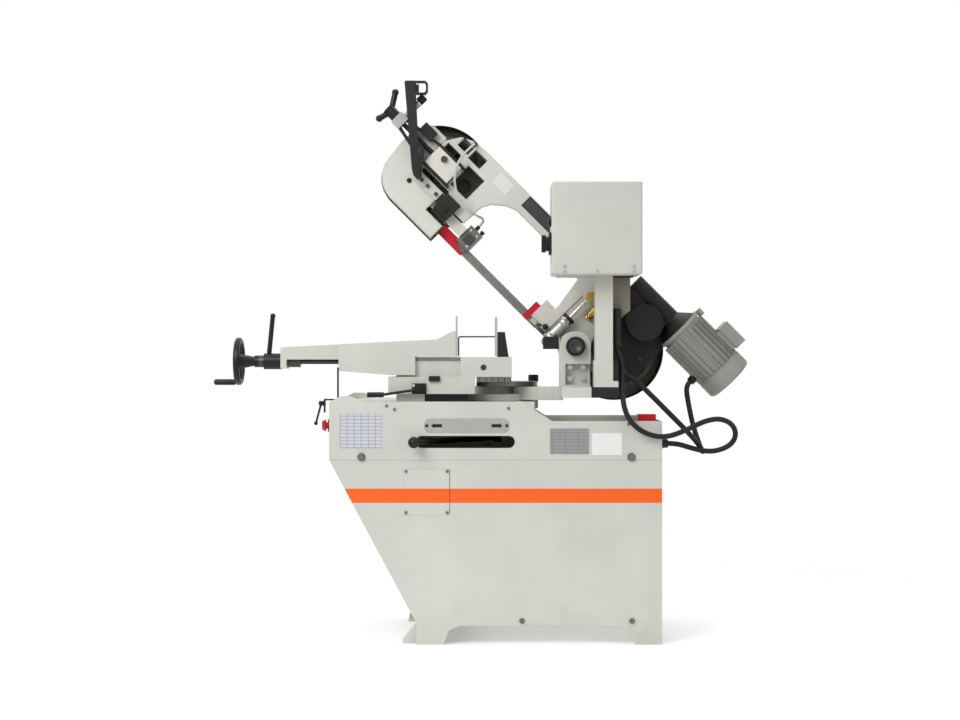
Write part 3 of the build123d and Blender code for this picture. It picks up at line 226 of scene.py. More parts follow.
def sprayPaint(name, tone, rough=0.38, wear=0.35, marks=None, bevel=0.0012):
    # sprayed coat: fine orange peel, cloudy tone, dust in broad patches and rubbed edges
    f = Finish(name, Metallic=0.0)
    cloud = f.noise(5.0, 4.0)
    speck = f.noise(160.0, 2.0)
    soft, lean = f.edges(bevel)
    peel = f.noise(750.0, 1.0)
    colour = f.blend(f.ease(cloud, 0.3, 0.75), rgba(tone, 0.95), rgba(tone, 1.03))
    colour = f.blend(f.ease(speck, 0.66, 0.8, 0.0, 0.18), colour, rgba(tone, 0.7))
    if marks:
        colour = marks(f, colour)
    rubbed = f.ease(lean, 0.03, 0.22) * f.ease(f.noise(60.0, 3.0), 0.45, 0.62) * wear
    colour = f.blend(rubbed, colour, rgba(tone, 0.55))
    roughness = f.ease(cloud, 0.25, 0.8, rough - 0.05, rough + 0.1)
    return f.set(colour=colour, rough=roughness, normal=f.relief(peel, 0.06, 0.0004, soft))


def machined(name, tone, rough=0.3, stretch=(1, 1, 40), grain=60.0, stains=0.35, marks=None):
    # cut metal: fine lines along one direction, stains and bright edges
    f = Finish(name, Metallic=1.0)
    lines = f.noise(grain, 4.0, 0.6, stretch)
    stain = f.noise(14.0, 4.0)
    soft, lean = f.edges(0.0008)
    colour = f.blend(lines, rgba(tone, 0.82), rgba(tone, 1.1))
    colour = f.blend(f.ease(stain, 0.55, 0.78, 0.0, stains), colour, rgba(tone, 0.6))
    colour = f.blend(f.ease(lean, 0.04, 0.3, 0.0, 0.6), colour, rgba(tone, 1.25))
    if marks:
        bare = 1.0
        for mask, coat in marks(f):
            colour = f.blend(mask, colour, rgba(tones[coat]))
            bare = (1 - mask) * bare
        f.set(metal=bare)
    roughness = f.ease(lines, 0.25, 0.75, rough - 0.06, rough + 0.12)
    return f.set(colour=colour, rough=roughness, normal=f.relief(lines, 0.08, 0.0004, soft))


def moulded(name, tone, rough=0.45):
    # moulded plastic: fine pebble and faint handling shine
    f = Finish(name, Metallic=0.0)
    pebble = f.noise(420.0, 2.0)
    shine = f.noise(18.0, 3.0)
    soft, lean = f.edges(0.0008)
    colour = f.blend(shine, rgba(tone, 0.88), rgba(tone, 1.12))
    colour = f.blend(f.ease(lean, 0.05, 0.3, 0.0, 0.3), colour, rgba([c + 0.015 for c in tone]))
    roughness = f.ease(shine, 0.3, 0.7, rough - 0.1, rough + 0.08)
    return f.set(colour=colour, rough=roughness, normal=f.relief(pebble, 0.1, 0.0003, soft))


def castIron(name, tone, rough=0.55):
    # sand-cast skin: coarse grain under paint or oil
    f = Finish(name, Metallic=0.25)
    grains = f.noise(260.0, 5.0, 0.65)
    patch = f.noise(9.0, 4.0)
    soft, lean = f.edges(0.0012)
    colour = f.blend(patch, rgba(tone, 0.8), rgba(tone, 1.15))
    colour = f.blend(f.ease(lean, 0.04, 0.25, 0.0, 0.5), colour, rgba(tone, 1.6))
    return f.set(colour=colour, rough=f.ease(grains, 0.3, 0.7, rough - 0.1, rough + 0.12),
                 normal=f.relief(grains, 0.25, 0.0006, soft))


def conduitSkin(name, tone):
    # dull rubber with pale scuffs; the ribs are in the tube's own shape
    f = Finish(name, Metallic=0.0)
    scuff = f.noise(45.0, 4.0)
    fine = f.noise(380.0, 2.0)
    pale = rgba([c + 0.012 for c in tone])
    colour = f.blend(f.ease(scuff, 0.5, 0.8, 0.0, 0.5), rgba(tone), pale)
    return f.set(colour=colour, rough=f.ease(scuff, 0.3, 0.7, 0.38, 0.55),
                 normal=f.relief(fine, 0.08, 0.0003))


# Marks: painted borders in metres, each a little clear of the face that it ends at


def between(wire, limits):
    # one inside the two limits, zero outside
    return (wire > limits[0]) * (wire < limits[1])


stripe = {"low": 0.4676, "high": 0.5155, "soft": 0.0006}
standDarkening = {"reach": 0.22, "strength": 0.35, "seam": (0.6065, 0.6105), "seamStrength": 0.2}
# where a painted shadow of the access cover's edge falls on the stand's front
coverShadow = {"x": (-0.2615, -0.2590), "z": (0.436, 0.579), "front": -0.2885, "strength": 0.8}


def stripeMarks(f, colour):
    # one painted band round the outside of the stand, where the face looks away from the middle,
    # darker towards the floor in cloudy patches and in the seam under the box, and a painted shadow beside
    # the cover
    spot, x, y, z = f.place()
    low, high, soft = stripe["low"], stripe["high"], stripe["soft"]
    band = f.ease(z, low, low + soft) * (1 - f.ease(z, high - soft, high))
    face = f.node("ShaderNodeNewGeometry").outputs["Normal"]
    colour = f.blend(band * (f.dot(face, spot) > 0.0), colour, rgba(tones["orange"]))
    # darker towards the floor, in cloudy patches
    foot = 1 - f.ease(z, 0.0, standDarkening["reach"])
    patches = f.ease(f.noise(7.0, 4.0), 0.4, 0.8)
    colour = f.blend(foot * patches * standDarkening["strength"], colour, rgba(tones["dust"]))
    # painted shadow: the access cover's edge casts this dark strip on the stand's front
    coverShadowMask = between(x, coverShadow["x"]) * between(z, coverShadow["z"]) * (y < coverShadow["front"])
    colour = f.blend(coverShadowMask * coverShadow["strength"], colour, rgba(tones["darkSteel"], 0.6))
    seam = between(z, standDarkening["seam"]) * standDarkening["seamStrength"]
    return f.blend(seam, colour, rgba(tones["dust"], 0.6))


boxEnds = {"left": -0.6583, "right": 0.4412}


def boxMarks(f, colour):
    # black gland at the right end and black collar round the stop button at the left
    x = f.place()[1]
    ends = (x > boxEnds["right"]) + (x < boxEnds["left"])
    return f.blend(ends, colour, rgba(tones["black"]))


duct = {"left": 0.2782, "back": -0.2465, "low": 0.87, "gussetLow": 1.0}


def columnMarks(f, colour):
    # black cable duct beside the grey post, and painted shade on the gusset behind it
    _, x, y, z = f.place()
    beside = x > duct["left"]
    # painted shade: the gusset is darkened to a grey beige
    gussetShade = beside * (y > duct["back"]) * (z > duct["gussetLow"])
    colour = f.blend(gussetShade, colour, rgba(tones["dust"], 0.8))
    return f.blend(beside * (y < duct["back"]) * (z > duct["low"]), colour, rgba(tones["black"]))


panelWall = 0.0739


def panelMarks(f, colour):
    # black switch base and button ring on the box's left wall
    return f.blend(f.place()[1] < panelWall, colour, rgba(tones["black"]))


spine = {"u": (-0.4705, -0.1695), "v": (0.2165, 0.2635), "y": (-0.0632, -0.0610), "behind": 0.13}


def frameMarks(f, colour):
    # the recessed strip of the spine is dark, and the corner behind the gears is painted shade
    u, v, y = f.onBow()
    deep = between(y, spine["y"]) * between(v, spine["v"]) * between(u, spine["u"])
    # painted shade: charcoal on the frame behind the gears, beyond u = 0.13
    return f.blend(deep + (u > spine["behind"]), colour, rgba(tones["charcoal"]))


guideHead = {"from": -0.5452, "tapFrom": -0.532, "tapLow": 0.0502}


def guideMarks(f, colour):
    # dark head on a light bar, with a black tap
    u, v, _ = f.onBow()
    colour = f.blend(u > guideHead["from"], colour, rgba(tones["head"]))
    tap = (v > guideHead["tapLow"]) * (u > guideHead["tapFrom"])
    return f.blend(tap, colour, rgba(tones["black"]))


jaw = {"bracketFront": -0.2355, "backLow": 0.9497, "backFrom": -0.1018}


def jawMarks(f, colour):
    # black lock bracket at the front, and painted shade on the back of the fixed jaw
    _, x, y, z = f.place()
    # painted shade: the fixed jaw's back, above and beyond these limits, is charcoal
    back = (z > jaw["backLow"]) * (x > jaw["backFrom"])
    return f.blend((y < jaw["bracketFront"]) + back, colour, rgba(tones["charcoal"]))


damperBracket = 0.1086


def blockMarks(f, colour):
    # the damper's bracket beside the block is dark
    return f.blend(f.place()[1] < damperBracket, colour, rgba(tones["charcoal"]))


panInside = (0.0560, 0.0575)


def panMarks(f, colour):
    # the inside face of the cover is brown, in cloudy patches
    y = f.place()[2]
    brownPatches = f.ease(f.noise(12.0, 4.0), 0.25, 0.6, 0.4, 1.0)
    return f.blend(between(y, panInside) * brownPatches, colour, rgba(tones["stain"]))


# from here on along x the swivel arm is painted dark: painted shade
armShadeFrom = 0.207


def armMarks(f, colour):
    # the arm beyond the pivot block is painted dark as painted shade
    return f.blend(f.place()[1] > armShadeFrom, colour, rgba(tones["charcoal"]))


clampStart = -0.690


def clampMarks(f, colour):
    # dark clamp on a light strip
    return f.blend(f.onBow()[0] > clampStart, colour, rgba(tones["charcoal"]))


crosshead = {"end": -0.9495, "collar": (0.1785, 0.212)}


def bracketMarks(f, colour):
    # light end block with a tan collar under the knob
    u, v, _ = f.onBow()
    end = u < crosshead["end"]
    colour = f.blend(end * (v < crosshead["collar"][0]), colour, rgba(tones["steel"]))
    return f.blend(end * between(v, crosshead["collar"]), colour, rgba(tones["tan"]))


wheelHub = -0.905


def rimMarks(f):
    # black handwheel and hub
    return [(f.place()[1] < wheelHub, "black")]


table = {"centre": -0.1, "ring": 0.126, "low": 0.852, "degrees": 5, "tick": 0.12, "paintHigh": 0.8448}
# where the rails under the vice are painted black as painted shade
railShade = {"x": (-0.345, -0.18), "y": (-0.2155, -0.11), "z": (0.8005, 0.8355)}


def bedMarks(f):
    # painted bed under the bare table, painted shade as black on the rails under the vice, and degree marks
    # round the table
    _, x, y, z = f.place()
    east = x - table["centre"]
    flat = f.node("ShaderNodeCombineXYZ", {}, {0: east, 1: y})
    steps = y.math("ARCTAN2", y, east) * (180 / math.pi / table["degrees"]) + 100.0  # above zero all round
    ticks = (steps.fract() < table["tick"]) * (f.away(flat.outputs[0]) > table["ring"]) * (z > table["low"])
    # painted shade: the rails in the gap under the vice are black
    railShadeMask = between(x, railShade["x"]) * between(y, railShade["y"]) * between(z, railShade["z"])
    return [(z < table["paintHigh"], "paint"), (railShadeMask + ticks, "black")]


skins = {
    "paint": sprayPaint("greyPaint", tones["paint"]),
    "stand": sprayPaint("standPaint", tones["paint"], marks=stripeMarks),
    "box": sprayPaint("boxPaint", tones["paint"], marks=boxMarks),
    "column": sprayPaint("columnPaint", tones["paint"], marks=columnMarks),
    "panel": sprayPaint("panelPaint", tones["paint"], marks=panelMarks),
    "vice": sprayPaint("vicePaint", tones["paint"], rough=0.42, marks=jawMarks),
    "bow": sprayPaint("bowPaint", tones["paint"], rough=0.42, marks=frameMarks),
    "guide": sprayPaint("guidePaint", tones["white"], marks=guideMarks),
    "shade": sprayPaint("shadePaint", tones["shade"], rough=0.45),
    "pale": sprayPaint("palePaint", tones["pale"], rough=0.42),
    "white": sprayPaint("coverPaint", tones["white"], rough=0.33, wear=0.1, bevel=0.009),
    "red": sprayPaint("guardPaint", tones["red"], rough=0.35),
    "black": sprayPaint("blackPaint", tones["black"], rough=0.36, wear=0.15),
    "charcoal": castIron("housingPaint", tones["charcoal"], 0.5),
    "motor": castIron("motorPaint", tones["motor"], 0.5),
    "steel": machined("cutSteel", tones["steel"]),
    "turned": machined("turnedSteel", tones["steel"], 0.28, (40, 1, 1), 40.0),
    "bright": machined("brightSteel", tones["bright"], 0.22, (1, 40, 1), 50.0),
    "blade": machined("bandSteel", tones["darkSteel"], 0.32, (1, 30, 1), 30.0),
    "brass": machined("brightBrass", tones["brass"], 0.26, (1, 40, 1), 60.0),
    "bronze": machined("bushBronze", tones["bronze"], 0.35),
    "iron": castIron("castSkin", tones["iron"]),
    "plastic": moulded("blackPlastic", tones["black"]),
    "redPlastic": moulded("redPlastic", tones["red"], 0.3),
    "tube": moulded("tubeSkin", tones["tube"], 0.3),
    "arm": sprayPaint("armPaint", tones["paint"], rough=0.42, marks=armMarks),
    "clamp": sprayPaint("clampPaint", tones["paint"], marks=clampMarks),
    "bracket": sprayPaint("bracketPaint", tones["black"], rough=0.36, wear=0.15, marks=bracketMarks),
    "screw": machined("screwSteel", tones["screw"], 0.36, (40, 1, 1), 40.0, marks=rimMarks),
    "bed": machined("bedSteel", tones["bed"], 0.36, marks=bedMarks),
    "block": sprayPaint("blockPaint", tones["paint"], marks=blockMarks),
    "pan": sprayPaint("panPaint", tones["black"], rough=0.4, wear=0.15, marks=panMarks),
    "barrel": machined("barrelSteel", tones["barrel"], 0.26, (1, 40, 1), 50.0, 0.7),
    "wheel": castIron("wheelSkin", tones["wheel"]),
    "conduit": conduitSkin("conduitSkin", tones["rubber"]),
    "darkMetal": machined("blackenedSteel", tones["blackened"], 0.4),
    "bolt": machined("boltSteel", tones["bolt"], 0.38),
}
wears = {
    "stand": "lower_stand access_cover",
    "box": "upper_box",
    "shade": "chip_tray coolant_tank",
    "redPlastic": "tray_cap stop_button",
    "bed": "swivel_bed",
    "bolt": "panel_screws",
    "steel": "swivel_screws fixed_jaw_plate moving_jaw_plate",
    "black": "stop_bracket swivel_lock_lever stop_clamp_lever quick_lever vice_lock_lever "
             "pivot_shaft tension_handle",
    "plastic": "crank_grip table_knob pull_handle guide_knob trigger main_switch_knob start_button",
    "arm": "swivel_arm",
    "block": "pivot_block",
    "bronze": "pivot_bushes layshaft_gears",
    "column": "column",
    "panel": "panel_shell",
    "paint": "panel_cover vice_arm",
    "vice": "vice_bed",
    "screw": "vice_screw",
    "darkMetal": "work_stop",
    "bow": "bow_frame",
    "pan": "rear_cover",
    "white": "front_cover",
    "blade": "blade",
    # the gear case's charcoal is partly its own dark paint and partly painted shade
    "charcoal": "gear_case",
    "motor": "motor_body fan_cover",
    "bracket": "tension_bracket",
    "pale": "tension_carriage fixed_guide",
    "clamp": "guide_clamp",
    "guide": "guide_bar",
    "red": "fixed_guard slide_guard",
    "brass": "brass_valve",
    "iron": "drive_wheel",
    "wheel": "idle_wheel",
    "bright": "damper_rod motor_rotor",
    "barrel": "damper_barrel",
}
for skin, names in wears.items():
    for name in names.split():
        nodes[name].data.materials.clear()
        nodes[name].data.materials.append(skins[skin].material)
print("finishes:", len(skins))


def gridFaces(rows, cols, closeRows=False, closeCols=False):
    # quads of a grid of points counted row by row
    r = np.arange(rows if closeRows else rows - 1)
    c = np.arange(cols if closeCols else cols - 1)
    i, j = np.meshgrid(r, c, indexing="ij")
    i2, j2 = (i + 1) % rows, (j + 1) % cols
    return np.stack([i * cols + j, i * cols + j2, i2 * cols + j2, i2 * cols + j], -1).reshape(-1, 4)


def addPiece(name, points, faces, skin, body, smooth=True, slot=None):
    # a mesh at the origin with one finish, on the body that it rides with
    mesh = bpy.data.meshes.new(name)
    rows = np.asarray(points, float).reshape(-1, 3).tolist()
    mesh.from_pydata(rows, [], [list(map(int, f)) for f in faces])
    mesh.polygons.foreach_set("use_smooth", np.full(len(mesh.polygons), smooth))
    mesh.materials.append(skins[skin].material)
    mesh.update()
    piece = bpy.data.objects.new(name, mesh)
    bpy.context.scene.collection.objects.link(piece)
    if body:
        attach(piece, body)
    return piece


def capped(faces, rows, cols):
    # closes both ends of a tube-like grid with one face each
    first = list(range(cols))[::-1]
    last = [(rows - 1) * cols + k for k in range(cols)]
    return [list(f) for f in faces] + [first, last]


offAxis = (0.31, 0.87, 0.38)  # along no axis that is used here


def ringRound(direction, sides):
    # a direction of length 1 and a circle of radius 1 square to it
    along = np.asarray(direction, float) / np.linalg.norm(direction)
    side = np.cross(along, offAxis)
    side /= np.linalg.norm(side)
    other = np.cross(along, side)
    a = np.linspace(0, 2 * np.pi, sides, endpoint=False)
    return along, np.cos(a)[:, None] * side + np.sin(a)[:, None] * other


def turnedForm(profile, sides, start, direction, hollow=False):
    # (distance along, radius) pairs turned round an axis that leaves start in a direction;
    # a hollow one closes on itself and has no ends
    p = np.asarray(profile, float)
    along, ring = ringRound(direction, sides)
    points = np.asarray(start) + p[:, 0, None, None] * along + p[:, 1, None, None] * ring[None]
    faces = gridFaces(len(p), sides, closeRows=hollow, closeCols=True)
    return points.reshape(-1, 3), faces if hollow else capped(faces, len(p), sides)


def roundedRing(width, height, corner, perCorner=6):
    # points round a rectangle with round corners, centred on zero
    a = np.linspace(0, np.pi / 2, perCorner)
    quarter = np.stack([np.cos(a), np.sin(a)], -1) * corner
    inset = np.array((width / 2 - corner, height / 2 - corner))
    quarterTurn = np.array([(0, 1), (-1, 0)])
    rings = []
    for mid in ((1, 1), (-1, 1), (-1, -1), (1, -1)):
        rings.append(quarter + mid * inset)
        quarter = quarter @ quarterTurn
    return np.concatenate(rings)


def plateForm(width, height, corner, thick, place, bevel=0.0006):
    # a thin plate: one ring at its back, its side and its bevelled front, put in place by a function
    full = roundedRing(width, height, corner)
    inner = roundedRing(width - 2 * bevel, height - 2 * bevel, corner - bevel)
    rings = [(full, 0.0), (full, thick - bevel), (inner, thick)]
    points = np.concatenate([np.column_stack([r, np.full(len(r), depth)]) for r, depth in rings])
    faces = gridFaces(len(rings), len(full), closeCols=True)
    return place(points), capped(faces, len(rings), len(full))


def onFront(x, z, y):
    # a plate on a wall that faces -Y
    return lambda p: np.stack([x + p[:, 0], y - p[:, 2], z + p[:, 1]], -1)


def onBowFront(u, v, y):
    # a plate on the bow's front, in line with the blade
    return lambda p: bowPoints(np.array((u, v, y)) + p * (1000, 1000, -1000))


# Conduits and tube: the routes are the solids' own points, in millimetres


def onBowMm(u, v, y):
    # a place on the bow in the frame's millimetres
    return tuple(1000 * c for c in bowPoint(u, v, y))


motorGland = {"u": 362.0, "v": 192.8, "y": -140.0}
motorEnd = onBowMm(motorGland["u"], motorGland["v"], motorGland["y"])
hoses = {
    "conduitA": {
        "replaces": "conduit_a", "diameter": 0.018, "bodies": ("swivel", "base"), "ribs": 0.0055,
        "route": [
            (294, -262, 985), (294, -262, 970), (309, -264, 946), (310, -268, 905), (311, -280, 850),
            (312, -312, 780), (342, -318, 724), (400, -318, 690), (460, -314, 686), (530, -304, 714),
            (580, -294, 738), (630, -284, 747), (672, -274, 731), (690, -264, 699), (682, -254, 666),
            (650, -246, 643), (602, -238, 633), (546, -231, 645), (498, -230, 661), (466, -230, 661)]},
    "conduitB": {
        "replaces": "conduit_b", "diameter": 0.018, "bodies": ("swivel", "bow"), "ribs": 0.0055,
        "bends": ((0.575, -0.14, 0.676), (0.641, -0.14, 0.748)),  # in its upright leg
        "route": [
            (310, -246, 892), (336, -246, 892), (390, -248, 842), (470, -246, 762), (540, -238, 692),
            (580, -218, 646), (592, -180, 626), (584, -150, 650), (562, -138, 720), (546, -136, 800),
            (motorEnd[0] - 14, motorEnd[1], motorEnd[2] - 14), motorEnd]},
    "coolantTube": {
        "replaces": "coolant_tube", "diameter": 0.008, "bodies": ("bow", "guide"), "skin": "tube",
        "route": [onBowMm(*p) for p in (
            (-730, 253, -66), (-730, 253, -90), (-730, 228, -112), (-730, 190, -114), (-718, 150, -114),
            (-684, 106, -114), (-640, 82, -112), (-592, 74, -100), (-552, 84, -76), (-530, 96, -32),
            (-523, 84, -20), (-523, 66, -20))]},
}
ribWave = {"middle": 0.965, "swing": 0.035, "stepsPerRib": 4}
hoseMesh = {"step": 0.004, "sides": 20, "firstSide": (0.2, 0.9, 0.37)}


def splinePoints(name, route):
    # the smooth line of a route: a spline with the route's points as its control points
    curve = bpy.data.curves.new(name, "CURVE")
    curve.dimensions = "3D"
    curve.resolution_u = 12
    line = curve.splines.new("NURBS")
    line.points.add(len(route) - 1)
    line.points.foreach_set("co", np.column_stack([np.asarray(route, float), np.ones(len(route))]).ravel())
    line.order_u = 3
    line.use_endpoint_u = True
    holder = bpy.data.objects.new(name, curve)
    bpy.context.scene.collection.objects.link(holder)
    mesh = bpy.data.meshes.new_from_object(holder)
    points = np.empty(len(mesh.vertices) * 3)
    mesh.vertices.foreach_get("co", points)
    bpy.data.objects.remove(holder)
    bpy.data.meshes.remove(mesh)
    bpy.data.curves.remove(curve)
    return points.reshape(-1, 3)


def evenSteps(points, step):
    # the same line at equal steps of length
    runs = np.linalg.norm(np.diff(points, axis=0), axis=1)
    along = np.concatenate([[0], np.cumsum(runs)])
    spots = np.linspace(0, along[-1], int(along[-1] / step) + 1)
    return np.stack([np.interp(spots, along, points[:, k]) for k in range(3)], -1), spots


def hoseForm(points, radii, sides):
    # a circle carried along a line, each ring turned as little as possible from the one before
    ahead = np.gradient(points, axis=0)
    ahead /= np.linalg.norm(ahead, axis=1)[:, None]
    side = np.cross(ahead[0], hoseMesh["firstSide"])
    sideways = []
    for d in ahead:
        side = side - d * side.dot(d)
        side = side / np.linalg.norm(side)
        sideways.append(side)
    sideways = np.array(sideways)
    other = np.cross(ahead, sideways)
    a = np.linspace(0, 2 * np.pi, sides, endpoint=False)
    rings = np.cos(a)[None, :, None] * sideways[:, None] + np.sin(a)[None, :, None] * other[:, None]
    rings = points[:, None] + radii[:, None, None] * rings
    faces = gridFaces(len(points), sides, closeCols=True)
    return rings.reshape(-1, 3), capped(faces, len(points), sides)


def makeHose(name, spec):
    # a tube along a route, with a radius that waves where it has ribs
    line = splinePoints(name + "Line", np.asarray(spec["route"], float) / 1000)
    rib = spec.get("ribs")
    points, along = evenSteps(line, rib / ribWave["stepsPerRib"] if rib else hoseMesh["step"])
    radii = np.full(len(points), spec["diameter"] / 2)
    if rib:
        radii = radii * (ribWave["middle"] + ribWave["swing"] * np.cos(along / rib * 2 * np.pi))
    rings, faces = hoseForm(points, radii, hoseMesh["sides"])
    piece = addPiece(name, rings, faces, spec.get("skin", "conduit"), None)
    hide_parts(spec["replaces"])
    length = float(np.linalg.norm(np.diff(points, axis=0), axis=1).sum())
    bendStart, bendEnd = spec.get("bends", (tuple(points[3]), tuple(points[-3])))
    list(spec["bodies"])
    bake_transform(piece)
    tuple(bendStart)
    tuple(bendEnd)
    print(name, "length", round(length, 3))


for hoseName, hoseSpec in hoses.items():
    makeHose(hoseName, hoseSpec)
print("cords made")


# Plates and labels on the box's front wall
def labelFinish(name, tone, ruled=None, metal=0.0):
    # printed film or bare plate, with a ruled grid where one is given
    f = Finish(name, Metallic=metal)
    _, x, _, z = f.place()
    haze = f.noise(30.0, 3.0)
    colour = f.blend(haze, rgba(tone, 0.94), rgba(tone, 1.04))
    if ruled:
        lines = None
        for wire, start, cell in ((x, ruled["x"], ruled["wide"]), (z, ruled["z"], ruled["high"])):
            line = ((wire - start) / cell + 100.0).fract() < ruled["line"] / cell
            lines = line if lines is None else lines + line
        colour = f.blend(f.ease(lines, 0.0, 1.0), colour, rgba(ruled["ink"]))
    return f.set(colour=colour, rough=f.ease(haze, 0.3, 0.7, 0.34, 0.48),
                 normal=f.relief(f.noise(300.0, 2.0), 0.05, 0.0003))


wall = {"y": -0.290, "thick": 0.0012, "bevel": 0.0004, "corner": 0.004}
labels = {
    "speedTable": {
        "x": -0.5527, "z": 0.7068, "wide": 0.1386, "high": 0.1156, "tone": srgb(204, 205, 211),
        "ruled": {"x": -0.6221, "z": 0.6490, "wide": 0.0231, "high": 0.0116, "line": 0.0017,
                  "ink": srgb(140, 142, 150)}},
    "arrowPlate": {
        "x": -0.2037, "z": 0.7226, "wide": 0.282, "high": 0.048, "corner": 0.02,
        "tone": srgb(168, 169, 167), "metal": 0.6},
    "barePlate": {
        "x": 0.1354, "z": 0.6710, "wide": 0.1287, "high": 0.0840, "tone": srgb(150, 151, 150), "metal": 0.4,
        "ruled": {"x": 0.0780, "z": 0.6330, "wide": 0.0430, "high": 0.0110, "line": 0.0012,
                  "ink": srgb(118, 119, 118)}},
    "bareLabel": {
        "x": 0.2590, "z": 0.6620, "wide": 0.0990, "high": 0.0726, "tone": srgb(236, 236, 234)},
}
for labelName, spec in labels.items():
    skins[labelName] = labelFinish(labelName + "Finish", spec["tone"], spec.get("ruled"),
                                   spec.get("metal", 0.0))
    points, faces = plateForm(spec["wide"], spec["high"], spec.get("corner", wall["corner"]), wall["thick"],
                              onFront(spec["x"], spec["z"], wall["y"]), wall["bevel"])
    addPiece(labelName, points, faces, labelName, "base", smooth=False, slot="grey_paint")


arrows = {"gap": 0.1, "long": 0.037, "high": 0.0165, "shaft": 0.0105, "thick": 0.0003, "headShare": 0.7}


def arrowForm(place):
    # a flat arrow: shaft and head as one outline, with a front and a back
    end, shaft, head = arrows["long"] / 2, arrows["shaft"] / 2, arrows["high"] / 2
    neck = end - arrows["high"] * arrows["headShare"]
    ring = np.array([(-end, shaft), (-end, -shaft), (neck, -shaft), (neck, -head), (end, 0), (neck, head),
                     (neck, shaft)])
    depths = (0.0, arrows["thick"])
    points = np.concatenate([np.column_stack([ring, np.full(len(ring), d)]) for d in depths])
    return place(points), capped(gridFaces(2, len(ring), closeCols=True), 2, len(ring))


arrowPlate = labels["arrowPlate"]
for side, arrowName in ((-1, "arrowLeft"), (1, "arrowRight")):
    front = onFront(arrowPlate["x"] + side * arrows["gap"], arrowPlate["z"], wall["y"] - wall["thick"])
    points, faces = arrowForm(lambda p, s=side, f=front: f(p * (s, s, 1)))
    addPiece(arrowName, points, faces, "plastic", "base", smooth=False, slot="black_plastic")


headShape = {"bevel": 0.0008, "bevelShare": 0.3, "hole": 0.5, "holeFloor": 0.35, "sides": 24}


def headForm(radius, high, start, direction):
    # a cap screw turned from its profile: bevelled head with a blind hole that narrows to its floor
    bevel = min(headShape["bevel"], high * headShape["bevelShare"])
    hole, low = radius * headShape["hole"], high * headShape["holeFloor"]
    profile = [(0, radius), (high - bevel, radius), (high, radius - bevel), (high, hole),
               (low, hole * 0.98), (low, hole * 0.05)]
    return turnedForm(profile, headShape["sides"], start, direction)


plateEnds = 0.132  # from the arrow plate's middle to each of its screws
plateSpots = [(arrowPlate["x"] + s * plateEnds, wall["y"] - wall["thick"], arrowPlate["z"]) for s in (-1, 1)]
caseRing = {"u": 110.0, "v": 105.0, "y": -112.0, "radius": 82.0, "count": 8, "first": 0.3, "top": 0.55}
caseSpots = []
for a in caseRing["first"] + np.linspace(0, 2 * np.pi, caseRing["count"], endpoint=False):
    if math.sin(a) < caseRing["top"]:  # the top of the ring stays bare
        caseSpots.append(bowPoint(caseRing["u"] + caseRing["radius"] * math.cos(a),
                                  caseRing["v"] + caseRing["radius"] * math.sin(a), caseRing["y"]))
screws = {
    "plateScrews": {"spots": plateSpots, "radius": 0.0055, "high": 0.0016, "body": "base"},
    "caseScrews": {"spots": caseSpots, "radius": 0.006, "high": 0.006, "body": "bow"},
    "guideScrews": {"spots": [bowPoint(u, 37, -80) for u in (-772, -743, -704)],
                    "radius": 0.0068, "high": 0.0018, "body": "bow"},
    "carriageScrew": {"spots": [bowPoint(-765, 140, -107)],
                      "radius": 0.0118, "high": 0.0022, "body": "carriage"},
    "fixedScrews": {"spots": [bowPoint(-158, v, -66) for v in (32, -8)],
                    "radius": 0.0058, "high": 0.004, "body": "bow"},
    "headScrews": {"spots": [bowPoint(u, v, -40) for u, v in ((-533, 36), (-503, 36), (-503, -12))],
                   "radius": 0.0048, "high": 0.0035, "body": "guide", "skin": "bright"},
    "lockScrew": {"spots": [(-0.3812, -0.243, 0.8545)],
                  "radius": 0.005, "high": 0.004, "body": "vice", "skin": "bright"},
}
for screwName, spec in screws.items():
    # the same screw at each spot, as one piece that faces the front
    heads, allFaces = [], []
    for spot in spec["spots"]:
        points, faces = headForm(spec["radius"], spec["high"], spot, (0, -1, 0))
        before = len(heads) * len(points)
        heads.append(points)
        allFaces += [[i + before for i in f] for f in faces]
    addPiece(screwName, np.concatenate(heads), allFaces, spec.get("skin", "darkMetal"), spec["body"],
             smooth=False, slot="steel")

headPlate = {"u": -517, "v": 8, "y": -40, "wide": 0.03, "high": 0.034, "corner": 0.003, "deep": 0.006}
points, faces = plateForm(headPlate["wide"], headPlate["high"], headPlate["corner"], headPlate["deep"],
                          onBowFront(headPlate["u"], headPlate["v"], headPlate["y"]))
addPiece("headPlate", points, faces, "darkMetal", "guide", smooth=False, slot="steel")
viceBlock = {"x": -0.312, "z": 0.877, "y": -0.235, "wide": 0.037, "high": 0.018, "corner": 0.002,
             "deep": 0.01}
points, faces = plateForm(viceBlock["wide"], viceBlock["high"], viceBlock["corner"], viceBlock["deep"],
                          onFront(viceBlock["x"], viceBlock["z"], viceBlock["y"]))
addPiece("viceBlock", points, faces, "black", "vice", smooth=False, slot="black_paint")
print("plates and screws made")

